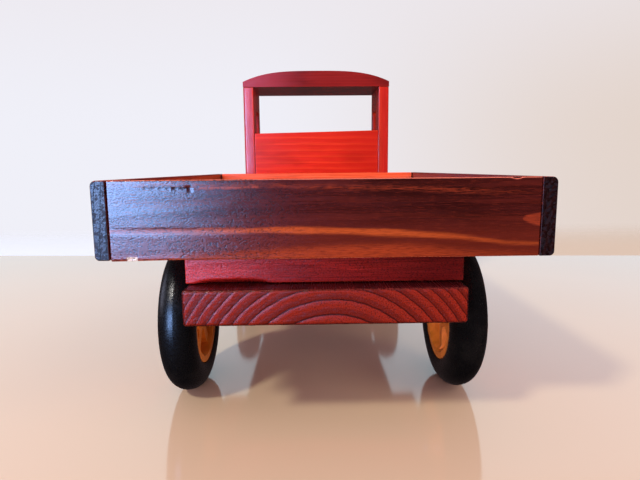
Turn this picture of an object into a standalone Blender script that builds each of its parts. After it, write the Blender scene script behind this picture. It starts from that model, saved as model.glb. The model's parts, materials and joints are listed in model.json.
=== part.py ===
"""A stained wooden toy flatbed truck, built piece by piece.

Frame: the origin is on the floor under the middle of the truck, +X is the truck's right,
+Y is forward and +Z is up.  Lengths are in metres; each is written in millimetres times MM.
Heights are above the floor, and lengthwise places are given from the tail by station().
"""
import math

import bmesh
import bpy
from mathutils import Matrix, Vector

MM = 0.001
GAP = 0.3 * MM                       # glue line or seat between two pieces that touch

# Driving dimensions of the tray, the chassis and the cab
TRAY_INSIDE_WIDTH = 180.0 * MM
TRAY_INSIDE_LENGTH = 259.3 * MM
TRAY_HEIGHT = 33.2 * MM
TRAY_BOARD = 5.7 * MM                # thickness of the tailboard and headboard
TRAY_SIDE_BOARD = 6.2 * MM
TRAY_FLOOR_BOARD = 6.0 * MM
TRAY_BOTTOM = 95.0 * MM

PLANK_WIDTH = 128.1 * MM
PLANK_THICKNESS = 16.8 * MM
PLANK_BOTTOM = 62.8 * MM
PLANK_START = 9.4 * MM               # station of the plank's rear end
PLANK_END = 405.0 * MM
PLANK_PANEL = (102.0 * MM, 228.0 * MM)   # stations of the bare panel between axle block and screws

BOLSTER_WIDTH = 129.6 * MM
BOLSTER_LENGTH = 45.0 * MM
REAR_BOLSTER_START = 21.0 * MM
FRONT_BOLSTER_START = 215.0 * MM

CAB_WIDTH = 136.8 * MM
CAB_START = 272.0 * MM
CAB_DEPTH = 56.0 * MM
CAB_WALL = 9.5 * MM
CAB_WALL_TOP = 208.0 * MM
CAB_REAR_SILL_LEFT = 165.7 * MM      # the hand-sawn top edge slopes up to the right
CAB_REAR_SILL_RIGHT = 168.1 * MM
CAB_FRONT_SILL = 163.0 * MM
SIDE_WINDOW_REAR_POST = 23.0 * MM
SIDE_WINDOW_LENGTH = 23.0 * MM
SIDE_WINDOW_BOTTOM = 158.0 * MM
SIDE_WINDOW_TOP = 189.0 * MM
SIDE_WINDOW_CORNER = 2.5 * MM

ROOF_THICKNESS = 14.3 * MM           # at the crown
ROOF_END_THICKNESS = 4.6 * MM
ROOF_OVERHANG = 2.0 * MM             # ahead of the cab walls
ROOF_CURVE_POWER = 3.3               # above 2, so the arch is flatter than a circle on top

# The bonnet, grille board, headlights and bumper
BONNET_WIDTH = 100.0 * MM
BONNET_LENGTH = 63.7 * MM
BONNET_TOP = 147.0 * MM
BONNET_SHOULDER = 16.0 * MM          # radius of the bonnet's upper long edges
GRILLE_BOARD = 7.0 * MM
GRILLE_MARGIN = 2.0 * MM             # how far the grille board stands out round the bonnet
GRILLE_SLOTS = 5
GRILLE_SLOT_WIDTH = 4.0 * MM
GRILLE_SLOT_SPACING = 10.0 * MM
GRILLE_SLOT_BOTTOM = 93.0 * MM
GRILLE_SLOT_TOP = 131.0 * MM
HEADLIGHT_RADIUS = 8.5 * MM
HEADLIGHT_DEPTH = 7.5 * MM
HEADLIGHT_OFFSET = 38.0 * MM         # sideways from the middle
HEADLIGHT_HEIGHT = 124.0 * MM
BUMPER_WIDTH = 150.0 * MM
BUMPER_BOARD = 8.0 * MM
BUMPER_HEIGHT = 18.0 * MM

# Wheels and axles
TYRE_RADIUS = 45.1 * MM
TYRE_SECTION = 10.2 * MM             # radius of the round rubber section
TYRE_SEAT = 29.7 * MM                # radius where the rubber sits on the hub
TYRE_STEPS = 32
TYRE_ARC_POINTS = 11
WHEEL_TRACK = 159.4 * MM             # between the wheels' middle planes
REAR_AXLE_STATION = 91.3 * MM
FRONT_AXLE_STATION = 360.0 * MM
AXLE_RADIUS = 2.5 * MM
AXLE_RUNNING_GAP = 0.08 * MM
AXLE_CHAMFER = 0.5 * MM
AXLE_REACH = 92.0 * MM               # half of the rod's length
AXLE_BLOCK_HALF_THICKNESS = 6.2 * MM
AXLE_BLOCK_HALF_WIDTH = 63.4 * MM

HUB_STEPS = 30
HUB_RADIUS = 29.3 * MM
HUB_RIM_HALF_WIDTH = 8.6 * MM
HUB_RIM_INSIDE = 25.4 * MM
HUB_FACE = 5.8 * MM                  # spokes' faces, from the wheel's middle plane
HUB_WEB = 1.4 * MM                   # half thickness of the web at the bottom of the pockets
HUB_BOSS_RADIUS = 8.0 * MM
HUB_BOSS_INNER = 13.0 * MM
HUB_BOSS_OUTER = 9.0 * MM
HUB_SPOKES = 6
HUB_SPOKE_HALF_WIDTH = 2.8 * MM
HUB_POCKET_INSIDE = 10.5 * MM
HUB_POCKET_OUTSIDE = 24.0 * MM

CAP_RADIUS = 6.0 * MM
CAP_LENGTH = 5.0 * MM
CAP_BASE = 89.2 * MM                 # from the middle of the truck to the cap's inner face
WASHER_RADIUS = 6.5 * MM
WASHER_THICKNESS = 1.2 * MM
WASHER_BASE = 64.4 * MM
SMALL_STEPS = 16                     # round steps of rods, caps, washers and headlights

# Wood screws
SCREW_STEPS = 8
SCREW_HEAD_RADIUS = 3.4 * MM
SCREW_HEAD_DEPTH = 2.2 * MM
SCREW_SHANK_RADIUS = 1.5 * MM
SCREW_TIP = 3.0 * MM
SCREW_SINK = 0.2 * MM                # how far a head lies below the wood
LONG_SCREW = 26.0 * MM
SHORT_SCREW = 14.0 * MM
CHASSIS_SCREW_OFFSET = 45.0 * MM
AXLE_SCREW_OFFSET = 30.0 * MM
TRAY_SCREW_OFFSET = 25.0 * MM
BUMPER_SCREW_OFFSET = 45.0 * MM

# Worked out from the dimensions above
TRUCK_LENGTH = PLANK_END + GAP + BUMPER_BOARD
TRAY_TOP = TRAY_BOTTOM + TRAY_HEIGHT
TRAY_FRONT = 2 * TRAY_BOARD + TRAY_INSIDE_LENGTH
PLANK_TOP = PLANK_BOTTOM + PLANK_THICKNESS
BOLSTER_BOTTOM = PLANK_TOP + GAP
BOLSTER_TOP = TRAY_BOTTOM - GAP
CAB_INSIDE_HALF = CAB_WIDTH / 2 - CAB_WALL
CAB_END = CAB_START + CAB_DEPTH
BONNET_START = CAB_END + GAP
GRILLE_START = BONNET_START + BONNET_LENGTH + GAP
ROOF_BOTTOM = CAB_WALL_TOP + GAP
AXLE_HEIGHT = TYRE_RADIUS * math.cos(math.pi / TYRE_STEPS)   # the tyres rest on a flat facet

# Linear colours, roughness and metallic value of each material
FINISHES = {
    "red_stained_pine": ((0.50, 0.035, 0.018), 0.38, 0.0),
    "dark_stained_pine": ((0.10, 0.012, 0.010), 0.32, 0.0),
    "crimson_stained_pine": ((0.30, 0.018, 0.020), 0.45, 0.0),
    "black_rubber": ((0.012, 0.012, 0.013), 0.40, 0.0),
    "amber_plastic": ((0.55, 0.17, 0.012), 0.35, 0.0),
    "bright_steel": ((0.62, 0.62, 0.64), 0.28, 1.0),
    "zinc_plated_steel": ((0.55, 0.54, 0.50), 0.38, 1.0),
}


def station(distance):
    """Return the Y place that lies this far ahead of the tailboard's rear face."""
    return distance - TRUCK_LENGTH / 2


def clear_scene():
    for old in list(bpy.data.objects):
        bpy.data.objects.remove(old, do_unlink=True)


def new_collection(name):
    collection = bpy.data.collections.new(name)
    bpy.context.scene.collection.children.link(collection)
    return collection


def new_material(name, colour, roughness, metallic):
    material = bpy.data.materials.new(name)
    material.use_nodes = True
    shader = material.node_tree.nodes["Principled BSDF"]
    shader.inputs["Base Color"].default_value = (*colour, 1.0)
    shader.inputs["Roughness"].default_value = roughness
    shader.inputs["Metallic"].default_value = metallic
    return material


clear_scene()
TRUCK = new_collection("toy_flatbed_truck")
CUTTERS = new_collection("cutters")
MATERIALS = {name: new_material(name, *finish) for name, finish in FINISHES.items()}


# ---------------------------------------------------------------- shape helpers

def add_piece(name, mesh, finish, matrix=Matrix.Identity(4)):
    """Put a mesh into the truck as one named piece."""
    piece = bpy.data.objects.new(name, mesh)
    mesh.materials.clear()
    mesh.materials.append(MATERIALS[finish])
    piece.matrix_world = matrix
    TRUCK.objects.link(piece)
    return piece


def add_cutter(name, mesh, matrix=Matrix.Identity(4)):
    """Put a mesh among the cutters, where it is never rendered."""
    cutter = bpy.data.objects.new(name, mesh)
    cutter.matrix_world = matrix
    cutter.hide_render = True
    cutter.display_type = "WIRE"
    CUTTERS.objects.link(cutter)
    return cutter


def cut(piece, cutter):
    boolean = piece.modifiers.new("cut_" + cutter.name, "BOOLEAN")
    boolean.operation = "DIFFERENCE"
    boolean.solver = "EXACT"
    boolean.object = cutter


def soften(piece, width, segments=1):
    """Sand a piece's edges round."""
    bevel = piece.modifiers.new("sanded_edges", "BEVEL")
    bevel.width = width
    bevel.segments = segments
    bevel.limit_method = "ANGLE"
    bevel.angle_limit = math.radians(40)


def box_mesh(name, size):
    mesh = bpy.data.meshes.new(name)
    solid = bmesh.new()
    bmesh.ops.create_cube(solid, size=1.0)
    bmesh.ops.scale(solid, vec=size, verts=solid.verts)
    solid.to_mesh(mesh)
    solid.free()
    return mesh


def board(name, finish, x_range, stations, heights, edge=0.6 * MM):
    """A straight board between two X values, two stations and two heights."""
    low = Vector((x_range[0], station(stations[0]), heights[0]))
    high = Vector((x_range[1], station(stations[1]), heights[1]))
    piece = add_piece(name, box_mesh(name, high - low), finish, Matrix.Translation((low + high) / 2))
    if edge:
        soften(piece, edge)
    return piece


def finished_mesh(obj):
    """Return the welded mesh of an object with its modifiers applied, and remove the object."""
    bpy.context.view_layer.update()
    graph = bpy.context.evaluated_depsgraph_get()
    mesh = bpy.data.meshes.new_from_object(obj.evaluated_get(graph))
    mesh.name = obj.name
    bpy.data.objects.remove(obj, do_unlink=True)
    welded = bmesh.new()
    welded.from_mesh(mesh)
    bmesh.ops.remove_doubles(welded, verts=welded.verts, dist=0.01 * MM)
    welded.to_mesh(mesh)
    welded.free()
    return mesh


def outline_mesh(name, outlines, thickness):
    """Extrude a flat outline, with any holes, by a thickness about its own XY plane."""
    curve = bpy.data.curves.new(name, "CURVE")
    curve.dimensions = "2D"
    curve.fill_mode = "BOTH"
    curve.extrude = thickness / 2
    for points in outlines:
        spline = curve.splines.new("POLY")
        spline.points.add(len(points) - 1)
        for point, (x, y) in zip(spline.points, points):
            point.co = (x, y, 0.0, 1.0)
        spline.use_cyclic_u = True
    drawn = bpy.data.objects.new(name, curve)
    CUTTERS.objects.link(drawn)
    return finished_mesh(drawn)


def turned_mesh(name, profile, steps, closed):
    """Turn a profile of (radius, height) points about Z."""
    mesh = bpy.data.meshes.new(name)
    edges = [(i, i + 1) for i in range(len(profile) - 1)]
    if closed:
        edges.append((len(profile) - 1, 0))
    mesh.from_pydata([(radius, 0.0, height) for radius, height in profile], edges, [])
    turning = bpy.data.objects.new(name, mesh)
    CUTTERS.objects.link(turning)
    screw = turning.modifiers.new("turning", "SCREW")
    screw.axis = "Z"
    screw.angle = 2 * math.pi
    screw.steps = steps
    screw.render_steps = steps
    screw.use_merge_vertices = True
    screw.merge_threshold = 0.01 * MM
    turned = finished_mesh(turning)
    turned.shade_smooth()
    turned.set_sharp_from_angle(angle=math.radians(35))
    return turned


def grouped_mesh(name, single, matrices):
    """Copy one mesh to several places inside a single mesh."""
    group = bmesh.new()
    for matrix in matrices:
        before = len(group.verts)
        group.from_mesh(single)
        group.verts.ensure_lookup_table()
        bmesh.ops.transform(group, matrix=matrix, verts=group.verts[before:])
    mesh = bpy.data.meshes.new(name)
    group.to_mesh(mesh)
    group.free()
    return mesh


def arc(centre, radius, start, end, points):
    """Points along an arc, from start to end in degrees."""
    result = []
    for i in range(points):
        angle = math.radians(start + (end - start) * i / (points - 1))
        result.append((centre[0] + radius * math.cos(angle), centre[1] + radius * math.sin(angle)))
    return result


def rounded_rectangle(x_range, y_range, radius, points=4):
    """A rectangle's outline with its corners rounded."""
    (left, right), (bottom, top) = x_range, y_range
    outline = []
    outline += arc((right - radius, top - radius), radius, 0, 90, points)
    outline += arc((left + radius, top - radius), radius, 90, 180, points)
    outline += arc((left + radius, bottom + radius), radius, 180, 270, points)
    outline += arc((right - radius, bottom + radius), radius, 270, 360, points)
    return outline


def upright_across(distance):
    """Stand an outline drawn in XY up across the truck, with its middle plane at a station."""
    return Matrix.Translation((0, station(distance), 0)) @ Matrix.Rotation(math.pi / 2, 4, "X")


# ---------------------------------------------------------------- chassis and tray

def divide(piece, stations):
    """Divide a board's long faces at two stations, so that the panel between them is one face."""
    solid = bmesh.new()
    solid.from_mesh(piece.data)
    for distance in stations:
        everything = solid.verts[:] + solid.edges[:] + solid.faces[:]
        place = Vector((0, station(distance) - piece.location.y, 0))
        bmesh.ops.bisect_plane(solid, geom=everything, plane_co=place, plane_no=(0, 1, 0))
    solid.to_mesh(piece.data)
    solid.free()


def build_chassis():
    half = PLANK_WIDTH / 2
    plank = board("chassis_plank", "crimson_stained_pine", (-half, half), (PLANK_START, PLANK_END),
                  (PLANK_BOTTOM, PLANK_TOP), edge=1.0 * MM)
    divide(plank, PLANK_PANEL)
    half = BOLSTER_WIDTH / 2
    bolsters = {}
    for name, start in (("rear_bolster", REAR_BOLSTER_START), ("front_bolster", FRONT_BOLSTER_START)):
        bolsters[name] = board(name, "crimson_stained_pine", (-half, half), (start, start + BOLSTER_LENGTH),
                               (BOLSTER_BOTTOM, BOLSTER_TOP), edge=0.8 * MM)
    half = BUMPER_WIDTH / 2
    middle = (PLANK_BOTTOM + PLANK_TOP) / 2
    bumper = board("front_bumper", "red_stained_pine", (-half, half), (PLANK_END + GAP, TRUCK_LENGTH),
                   (middle - BUMPER_HEIGHT / 2, middle + BUMPER_HEIGHT / 2), edge=1.2 * MM)
    return plank, bolsters, bumper


def build_tray():
    inside = TRAY_INSIDE_WIDTH / 2
    heights = (TRAY_BOTTOM, TRAY_TOP)
    for side, name in ((-1, "tray_side_left"), (1, "tray_side_right")):
        near, far = sorted((side * inside, side * (inside + TRAY_SIDE_BOARD)))
        board(name, "dark_stained_pine", (near, far), (0, TRAY_FRONT), heights, edge=1.2 * MM)
    across = (-inside + GAP, inside - GAP)
    board("tailboard", "dark_stained_pine", across, (0, TRAY_BOARD), heights)
    board("headboard", "red_stained_pine", across, (TRAY_FRONT - TRAY_BOARD, TRAY_FRONT), heights)
    lengthwise = (TRAY_BOARD + GAP, TRAY_FRONT - TRAY_BOARD - GAP)
    return board("tray_floor", "red_stained_pine", across, lengthwise,
                 (TRAY_BOTTOM, TRAY_BOTTOM + TRAY_FLOOR_BOARD), edge=0)


# ---------------------------------------------------------------- cab and bonnet

def build_cab():
    half = CAB_WIDTH / 2
    cab_floor = board("cab_floor", "red_stained_pine", (-half, half), (CAB_START, CAB_END),
                      (BOLSTER_BOTTOM, BOLSTER_TOP), edge=0.8 * MM)
    inside = CAB_INSIDE_HALF - GAP
    outline = [(-inside, TRAY_BOTTOM), (inside, TRAY_BOTTOM),
               (inside, CAB_REAR_SILL_RIGHT), (-inside, CAB_REAR_SILL_LEFT)]
    mesh = outline_mesh("cab_back_panel", [outline], CAB_WALL)
    back = add_piece("cab_back_panel", mesh, "red_stained_pine", upright_across(CAB_START + CAB_WALL / 2))
    soften(back, 0.6 * MM)
    board("cab_front_panel", "red_stained_pine", (-inside, inside), (CAB_END - CAB_WALL, CAB_END),
          (TRAY_BOTTOM, CAB_FRONT_SILL))
    build_cab_sides()
    build_roof()
    return cab_floor


def build_cab_sides():
    """Two upright walls, each with a side window cut through it."""
    rear = station(CAB_START)
    window_start = rear + SIDE_WINDOW_REAR_POST
    wall = [(rear, TRAY_BOTTOM), (rear + CAB_DEPTH, TRAY_BOTTOM),
            (rear + CAB_DEPTH, CAB_WALL_TOP), (rear, CAB_WALL_TOP)]
    window = rounded_rectangle((window_start, window_start + SIDE_WINDOW_LENGTH),
                               (SIDE_WINDOW_BOTTOM, SIDE_WINDOW_TOP), SIDE_WINDOW_CORNER)
    # The outline's own X lies along the truck and its own Y stands up.
    stand = Matrix(((0, 0, 1, 0), (1, 0, 0, 0), (0, 1, 0, 0), (0, 0, 0, 1)))
    for side, name in ((-1, "cab_side_left"), (1, "cab_side_right")):
        middle = side * (CAB_WIDTH - CAB_WALL) / 2
        mesh = outline_mesh(name, [wall, window], CAB_WALL)
        piece = add_piece(name, mesh, "red_stained_pine", Matrix.Translation((middle, 0, 0)) @ stand)
        soften(piece, 0.6 * MM)


def build_roof():
    """A slab with a flat underside and an arched top that thins out towards both ends."""
    half = CAB_WIDTH / 2
    outline = [(-half, ROOF_BOTTOM), (half, ROOF_BOTTOM)]
    drop = ROOF_THICKNESS - ROOF_END_THICKNESS
    arch_points = 17
    for i in range(arch_points):
        across = math.cos(math.pi * i / (arch_points - 1))
        height = ROOF_BOTTOM + ROOF_THICKNESS - drop * abs(across) ** ROOF_CURVE_POWER
        outline.append((half * across, height))
    depth = CAB_DEPTH + ROOF_OVERHANG
    mesh = outline_mesh("cab_roof", [outline], depth)
    roof = add_piece("cab_roof", mesh, "red_stained_pine", upright_across(CAB_START + depth / 2))
    soften(roof, 0.6 * MM)


def bonnet_outline(margin):
    """Square below and round at both shoulders, and larger all round by the margin."""
    half = BONNET_WIDTH / 2 + margin
    top = BONNET_TOP + margin
    radius = BONNET_SHOULDER + margin
    outline = [(-half, BOLSTER_BOTTOM), (half, BOLSTER_BOTTOM)]
    outline += arc((half - radius, top - radius), radius, 0, 90, 7)
    outline += arc((-half + radius, top - radius), radius, 90, 180, 7)
    return outline


def build_bonnet():
    mesh = outline_mesh("bonnet", [bonnet_outline(0)], BONNET_LENGTH)
    add_piece("bonnet", mesh, "red_stained_pine", upright_across(BONNET_START + BONNET_LENGTH / 2))

    outlines = [bonnet_outline(GRILLE_MARGIN)]
    for i in range(GRILLE_SLOTS):
        middle = (i - (GRILLE_SLOTS - 1) / 2) * GRILLE_SLOT_SPACING
        slot = (middle - GRILLE_SLOT_WIDTH / 2, middle + GRILLE_SLOT_WIDTH / 2)
        outlines.append(rounded_rectangle(slot, (GRILLE_SLOT_BOTTOM, GRILLE_SLOT_TOP),
                                          GRILLE_SLOT_WIDTH / 2 - GAP))
    mesh = outline_mesh("radiator_grille", outlines, GRILLE_BOARD)
    add_piece("radiator_grille", mesh, "red_stained_pine", upright_across(GRILLE_START + GRILLE_BOARD / 2))

    flat = 2.0 * MM
    profile = [(0, HEADLIGHT_DEPTH)]
    for radius, height in arc((0, 0), 1.0, 70, 0, 4):
        profile.append((HEADLIGHT_RADIUS * radius, flat + (HEADLIGHT_DEPTH - flat) * height))
    profile += [(HEADLIGHT_RADIUS, 0), (0, 0)]
    face = station(GRILLE_START + GRILLE_BOARD + GAP)
    forward = Matrix.Rotation(-math.pi / 2, 4, "X")
    for side, name in ((-1, "headlight_left"), (1, "headlight_right")):
        place = Matrix.Translation((side * HEADLIGHT_OFFSET, face, HEADLIGHT_HEIGHT))
        mesh = turned_mesh(name, profile, SMALL_STEPS, closed=False)
        add_piece(name, mesh, "amber_plastic", place @ forward)


# ---------------------------------------------------------------- axles and wheels

def axle_bore(name, distance):
    """A long cylinder that cuts the axle's hole, which the rod passes with a thin gap."""
    radius = AXLE_RADIUS + GAP
    profile = [(0, AXLE_REACH), (radius, AXLE_REACH), (radius, -AXLE_REACH), (0, -AXLE_REACH)]
    mesh = turned_mesh(name, profile, SMALL_STEPS, closed=False)
    place = Matrix.Translation((0, station(distance), AXLE_HEIGHT))
    return add_cutter(name, mesh, place @ Matrix.Rotation(math.pi / 2, 4, "Y"))


def build_axle_block(name, distance):
    """A cross bar under the plank, bored for the axle and half round along its lower side."""
    top = PLANK_BOTTOM - GAP
    bottom = AXLE_HEIGHT - AXLE_BLOCK_HALF_THICKNESS
    size = Vector((2 * AXLE_BLOCK_HALF_WIDTH, 2 * AXLE_BLOCK_HALF_THICKNESS, top - bottom))
    mesh = box_mesh(name, size)
    solid = bmesh.new()
    solid.from_mesh(mesh)
    lower = [edge for edge in solid.edges
             if all(vert.co.z < 0 for vert in edge.verts)
             and abs(edge.verts[0].co.x - edge.verts[1].co.x) > AXLE_BLOCK_HALF_WIDTH]
    bmesh.ops.bevel(solid, geom=lower, offset=AXLE_BLOCK_HALF_THICKNESS - 0.05 * MM,
                    segments=6, profile=0.5, affect="EDGES")
    solid.to_mesh(mesh)
    solid.free()
    middle = Matrix.Translation((0, station(distance), (top + bottom) / 2))
    block = add_piece(name, mesh, "red_stained_pine", middle)
    cut(block, axle_bore(name + "_bore", distance))
    return block


def build_axle(name, distance):
    """A steel rod with chamfered ends."""
    end = AXLE_REACH
    thin = AXLE_RADIUS - AXLE_CHAMFER
    profile = [(0, end), (thin, end), (AXLE_RADIUS, end - AXLE_CHAMFER),
               (AXLE_RADIUS, AXLE_CHAMFER - end), (thin, -end), (0, -end)]
    mesh = turned_mesh(name, profile, SMALL_STEPS, closed=False)
    place = Matrix.Translation((0, station(distance), AXLE_HEIGHT))
    add_piece(name, mesh, "bright_steel", place @ Matrix.Rotation(math.pi / 2, 4, "Y"))


def tyre_profile():
    """The round rubber section, cut flat where it sits on the hub."""
    centre = TYRE_RADIUS - TYRE_SECTION
    seat_angle = math.degrees(math.acos((centre - TYRE_SEAT) / TYRE_SECTION))
    return arc((centre, 0), TYRE_SECTION, 180 - seat_angle, seat_angle - 180, TYRE_ARC_POINTS)


def hub_profile():
    """Rim, spoke face and boss on both sides, closed along the bore; +Z points out of the wheel."""
    bore = AXLE_RADIUS + AXLE_RUNNING_GAP
    rim, face, boss = HUB_RIM_INSIDE, HUB_FACE, HUB_BOSS_RADIUS
    step = HUB_RIM_HALF_WIDTH - HUB_FACE
    return [(HUB_RADIUS, HUB_RIM_HALF_WIDTH), (HUB_RADIUS, -HUB_RIM_HALF_WIDTH),
            (rim, -HUB_RIM_HALF_WIDTH), (rim - step, -face),
            (boss, -face), (boss, -HUB_BOSS_INNER),
            (bore, -HUB_BOSS_INNER), (bore, HUB_BOSS_OUTER),
            (boss, HUB_BOSS_OUTER), (boss, face),
            (rim - step, face), (rim, HUB_RIM_HALF_WIDTH)]


def pocket_outline():
    """The space between two neighbouring parallel-sided spokes, inside the rim."""
    half_pitch = 180 / HUB_SPOKES
    outer = half_pitch - math.degrees(math.asin(HUB_SPOKE_HALF_WIDTH / HUB_POCKET_OUTSIDE))
    inner = half_pitch - math.degrees(math.asin(HUB_SPOKE_HALF_WIDTH / HUB_POCKET_INSIDE))
    outline = arc((0, 0), HUB_POCKET_OUTSIDE, -outer, outer, 5)
    outline += arc((0, 0), HUB_POCKET_INSIDE, inner, -inner, 2)
    return outline


def pocket_cutter(name, wheel_matrix):
    """All pockets of one hub, on both faces, as separate closed prisms."""
    depth = HUB_FACE - HUB_WEB + 1.0 * MM
    single = outline_mesh("pocket", [pocket_outline()], depth)
    places = []
    for face in (-1, 1):
        for i in range(HUB_SPOKES):
            turn = Matrix.Rotation((i + 0.5) * 2 * math.pi / HUB_SPOKES, 4, "Z")
            places.append(turn @ Matrix.Translation((0, 0, face * (HUB_WEB + depth / 2))))
    return add_cutter(name, grouped_mesh(name, single, places), wheel_matrix)


def cap_profile():
    """A domed push-on cap with a blind hole for the rod's end."""
    bore = AXLE_RADIUS + GAP
    depth = AXLE_REACH - CAP_BASE + GAP
    straight = 1.5 * MM
    profile = [(0, CAP_LENGTH)]
    for radius, height in arc((0, 0), 1.0, 65, 0, 3):
        profile.append((CAP_RADIUS * radius, straight + (CAP_LENGTH - straight) * height))
    profile += [(CAP_RADIUS, 0), (bore, 0), (bore, depth), (0, depth)]
    return profile


def washer_profile():
    bore = AXLE_RADIUS + GAP
    return [(WASHER_RADIUS, WASHER_THICKNESS), (WASHER_RADIUS, 0), (bore, 0), (bore, WASHER_THICKNESS)]


def outward(side, distance, offset):
    """Place on the axle line with local +Z pointing away from the truck on that side."""
    place = Matrix.Translation((side * offset, station(distance), AXLE_HEIGHT))
    return place @ Matrix.Rotation(side * math.pi / 2, 4, "Y")


def build_wheel(corner, side, distance, hub_turn):
    """One wheel, made of a plastic hub and a rubber tyre, between its washer and its cap."""
    middle = outward(side, distance, WHEEL_TRACK / 2)
    flat_down = Matrix.Rotation(math.pi / TYRE_STEPS, 4, "Z")
    tyre = turned_mesh("tyre_" + corner, tyre_profile(), TYRE_STEPS, closed=True)
    add_piece("tyre_" + corner, tyre, "black_rubber", middle @ flat_down)

    turned = middle @ Matrix.Rotation(math.radians(hub_turn), 4, "Z")
    hub = turned_mesh("hub_" + corner, hub_profile(), HUB_STEPS, closed=True)
    piece = add_piece("hub_" + corner, hub, "amber_plastic", turned)
    cut(piece, pocket_cutter("pockets_" + corner, turned))

    cap = turned_mesh("axle_cap_" + corner, cap_profile(), SMALL_STEPS, closed=False)
    add_piece("axle_cap_" + corner, cap, "bright_steel", outward(side, distance, CAP_BASE))
    washer = turned_mesh("washer_" + corner, washer_profile(), SMALL_STEPS, closed=True)
    add_piece("washer_" + corner, washer, "zinc_plated_steel", outward(side, distance, WASHER_BASE))


def build_running_gear():
    blocks = {}
    axles = (("rear", REAR_AXLE_STATION), ("front", FRONT_AXLE_STATION))
    for end, distance in axles:
        blocks[end] = build_axle_block(end + "_axle_block", distance)
        build_axle(end + "_axle", distance)
        for side, hand in ((-1, "left"), (1, "right")):
            # A spoke points down on the right, and a pocket on the left.
            build_wheel(end + "_" + hand, side, distance, 0 if side > 0 else 180 / HUB_SPOKES)
    return blocks


# ---------------------------------------------------------------- screws

def screw_mesh(name, length, extra=0.0):
    """A countersunk wood screw, head up at the origin; a cutter for its hole is larger by extra."""
    shank = SCREW_SHANK_RADIUS + extra
    head = SCREW_HEAD_RADIUS + extra
    cover = 1.0 * MM if extra else 0.0
    profile = [(0, cover), (head, cover)]
    if extra:
        profile.append((head, 0))
    profile += [(shank, -SCREW_HEAD_DEPTH), (shank, SCREW_TIP - length), (0, -length - extra)]
    return turned_mesh(name, profile, SCREW_STEPS, closed=False)


def add_screws(name, length, matrices, drilled):
    """Numbered screws of one kind, with holes for them in the pieces they join."""
    screw = screw_mesh(name, length)
    for number, matrix in enumerate(matrices, start=1):
        add_piece(f"{name}_{number}", screw, "zinc_plated_steel", matrix)
    hole = screw_mesh(name + "_hole", length, GAP)
    holes = add_cutter(name + "_holes", grouped_mesh(name + "_holes", hole, matrices))
    for piece in drilled:
        cut(piece, holes)


def fasten(plank, bolsters, bumper, tray_floor, cab_floor, blocks):
    head_down = Matrix.Rotation(math.pi, 4, "X")
    head_forward = Matrix.Rotation(-math.pi / 2, 4, "X")
    sides = (-1, 1)
    bolster_middles = [start + BOLSTER_LENGTH / 2 for start in (REAR_BOLSTER_START, FRONT_BOLSTER_START)]

    under_plank = PLANK_BOTTOM + SCREW_SINK
    places = [Matrix.Translation((side * CHASSIS_SCREW_OFFSET, station(distance), under_plank)) @ head_down
              for distance in bolster_middles + [CAB_START + CAB_DEPTH / 2] for side in sides]
    add_screws("chassis_screw", LONG_SCREW, places, [plank, cab_floor, *bolsters.values()])

    over_plank = PLANK_TOP - SCREW_SINK
    places = [Matrix.Translation((side * AXLE_SCREW_OFFSET, station(distance), over_plank))
              for distance in (REAR_AXLE_STATION, FRONT_AXLE_STATION) for side in sides]
    add_screws("axle_block_screw", LONG_SCREW, places, [plank, *blocks.values()])

    over_floor = TRAY_BOTTOM + TRAY_FLOOR_BOARD - SCREW_SINK
    places = [Matrix.Translation((side * TRAY_SCREW_OFFSET, station(distance), over_floor))
              for distance in bolster_middles for side in sides]
    add_screws("tray_screw", SHORT_SCREW, places, [tray_floor, *bolsters.values()])

    middle = (PLANK_BOTTOM + PLANK_TOP) / 2
    places = [Matrix.Translation((side * BUMPER_SCREW_OFFSET, station(TRUCK_LENGTH) - SCREW_SINK, middle))
              @ head_forward for side in sides]
    add_screws("bumper_screw", LONG_SCREW, places, [bumper, plank])


def main():
    plank, bolsters, bumper = build_chassis()
    tray_floor = build_tray()
    cab_floor = build_cab()
    build_bonnet()
    blocks = build_running_gear()
    fasten(plank, bolsters, bumper, tray_floor, cab_floor, blocks)


main()
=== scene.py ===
"""Looks of a stained wooden toy flatbed truck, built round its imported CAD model.

Lengths are in metres unless a name ends in _mm.  Pattern sizes inside the materials are in
millimetres.  +X is the truck's right, +Y is forward and +Z is up; the origin is on the floor.
"""
import json
import math

import bmesh
import bpy
import numpy as np
from mathutils import Matrix, Vector, noise


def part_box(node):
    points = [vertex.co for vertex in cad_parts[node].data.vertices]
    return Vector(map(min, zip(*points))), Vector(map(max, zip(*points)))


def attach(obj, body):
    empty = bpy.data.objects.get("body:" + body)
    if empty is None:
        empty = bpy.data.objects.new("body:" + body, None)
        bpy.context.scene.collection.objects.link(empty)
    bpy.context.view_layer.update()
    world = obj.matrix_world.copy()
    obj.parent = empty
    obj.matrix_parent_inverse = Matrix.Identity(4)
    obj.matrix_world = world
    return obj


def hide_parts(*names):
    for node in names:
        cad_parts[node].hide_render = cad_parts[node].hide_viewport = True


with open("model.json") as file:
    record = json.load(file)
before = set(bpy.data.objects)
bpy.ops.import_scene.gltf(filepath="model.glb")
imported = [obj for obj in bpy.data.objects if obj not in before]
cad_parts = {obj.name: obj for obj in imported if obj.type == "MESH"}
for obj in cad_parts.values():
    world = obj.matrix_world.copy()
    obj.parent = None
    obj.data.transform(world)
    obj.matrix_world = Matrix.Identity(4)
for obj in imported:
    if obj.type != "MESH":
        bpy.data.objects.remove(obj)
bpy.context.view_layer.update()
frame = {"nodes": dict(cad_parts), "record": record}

MM = 0.001

BODIES = {node: body for body, nodes in frame["record"]["behaviour"]["bodies"].items() for node in nodes}
GRAIN_X, GRAIN_Y, GRAIN_Z = 0, 1, 2


# ================================================================ material building

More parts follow.
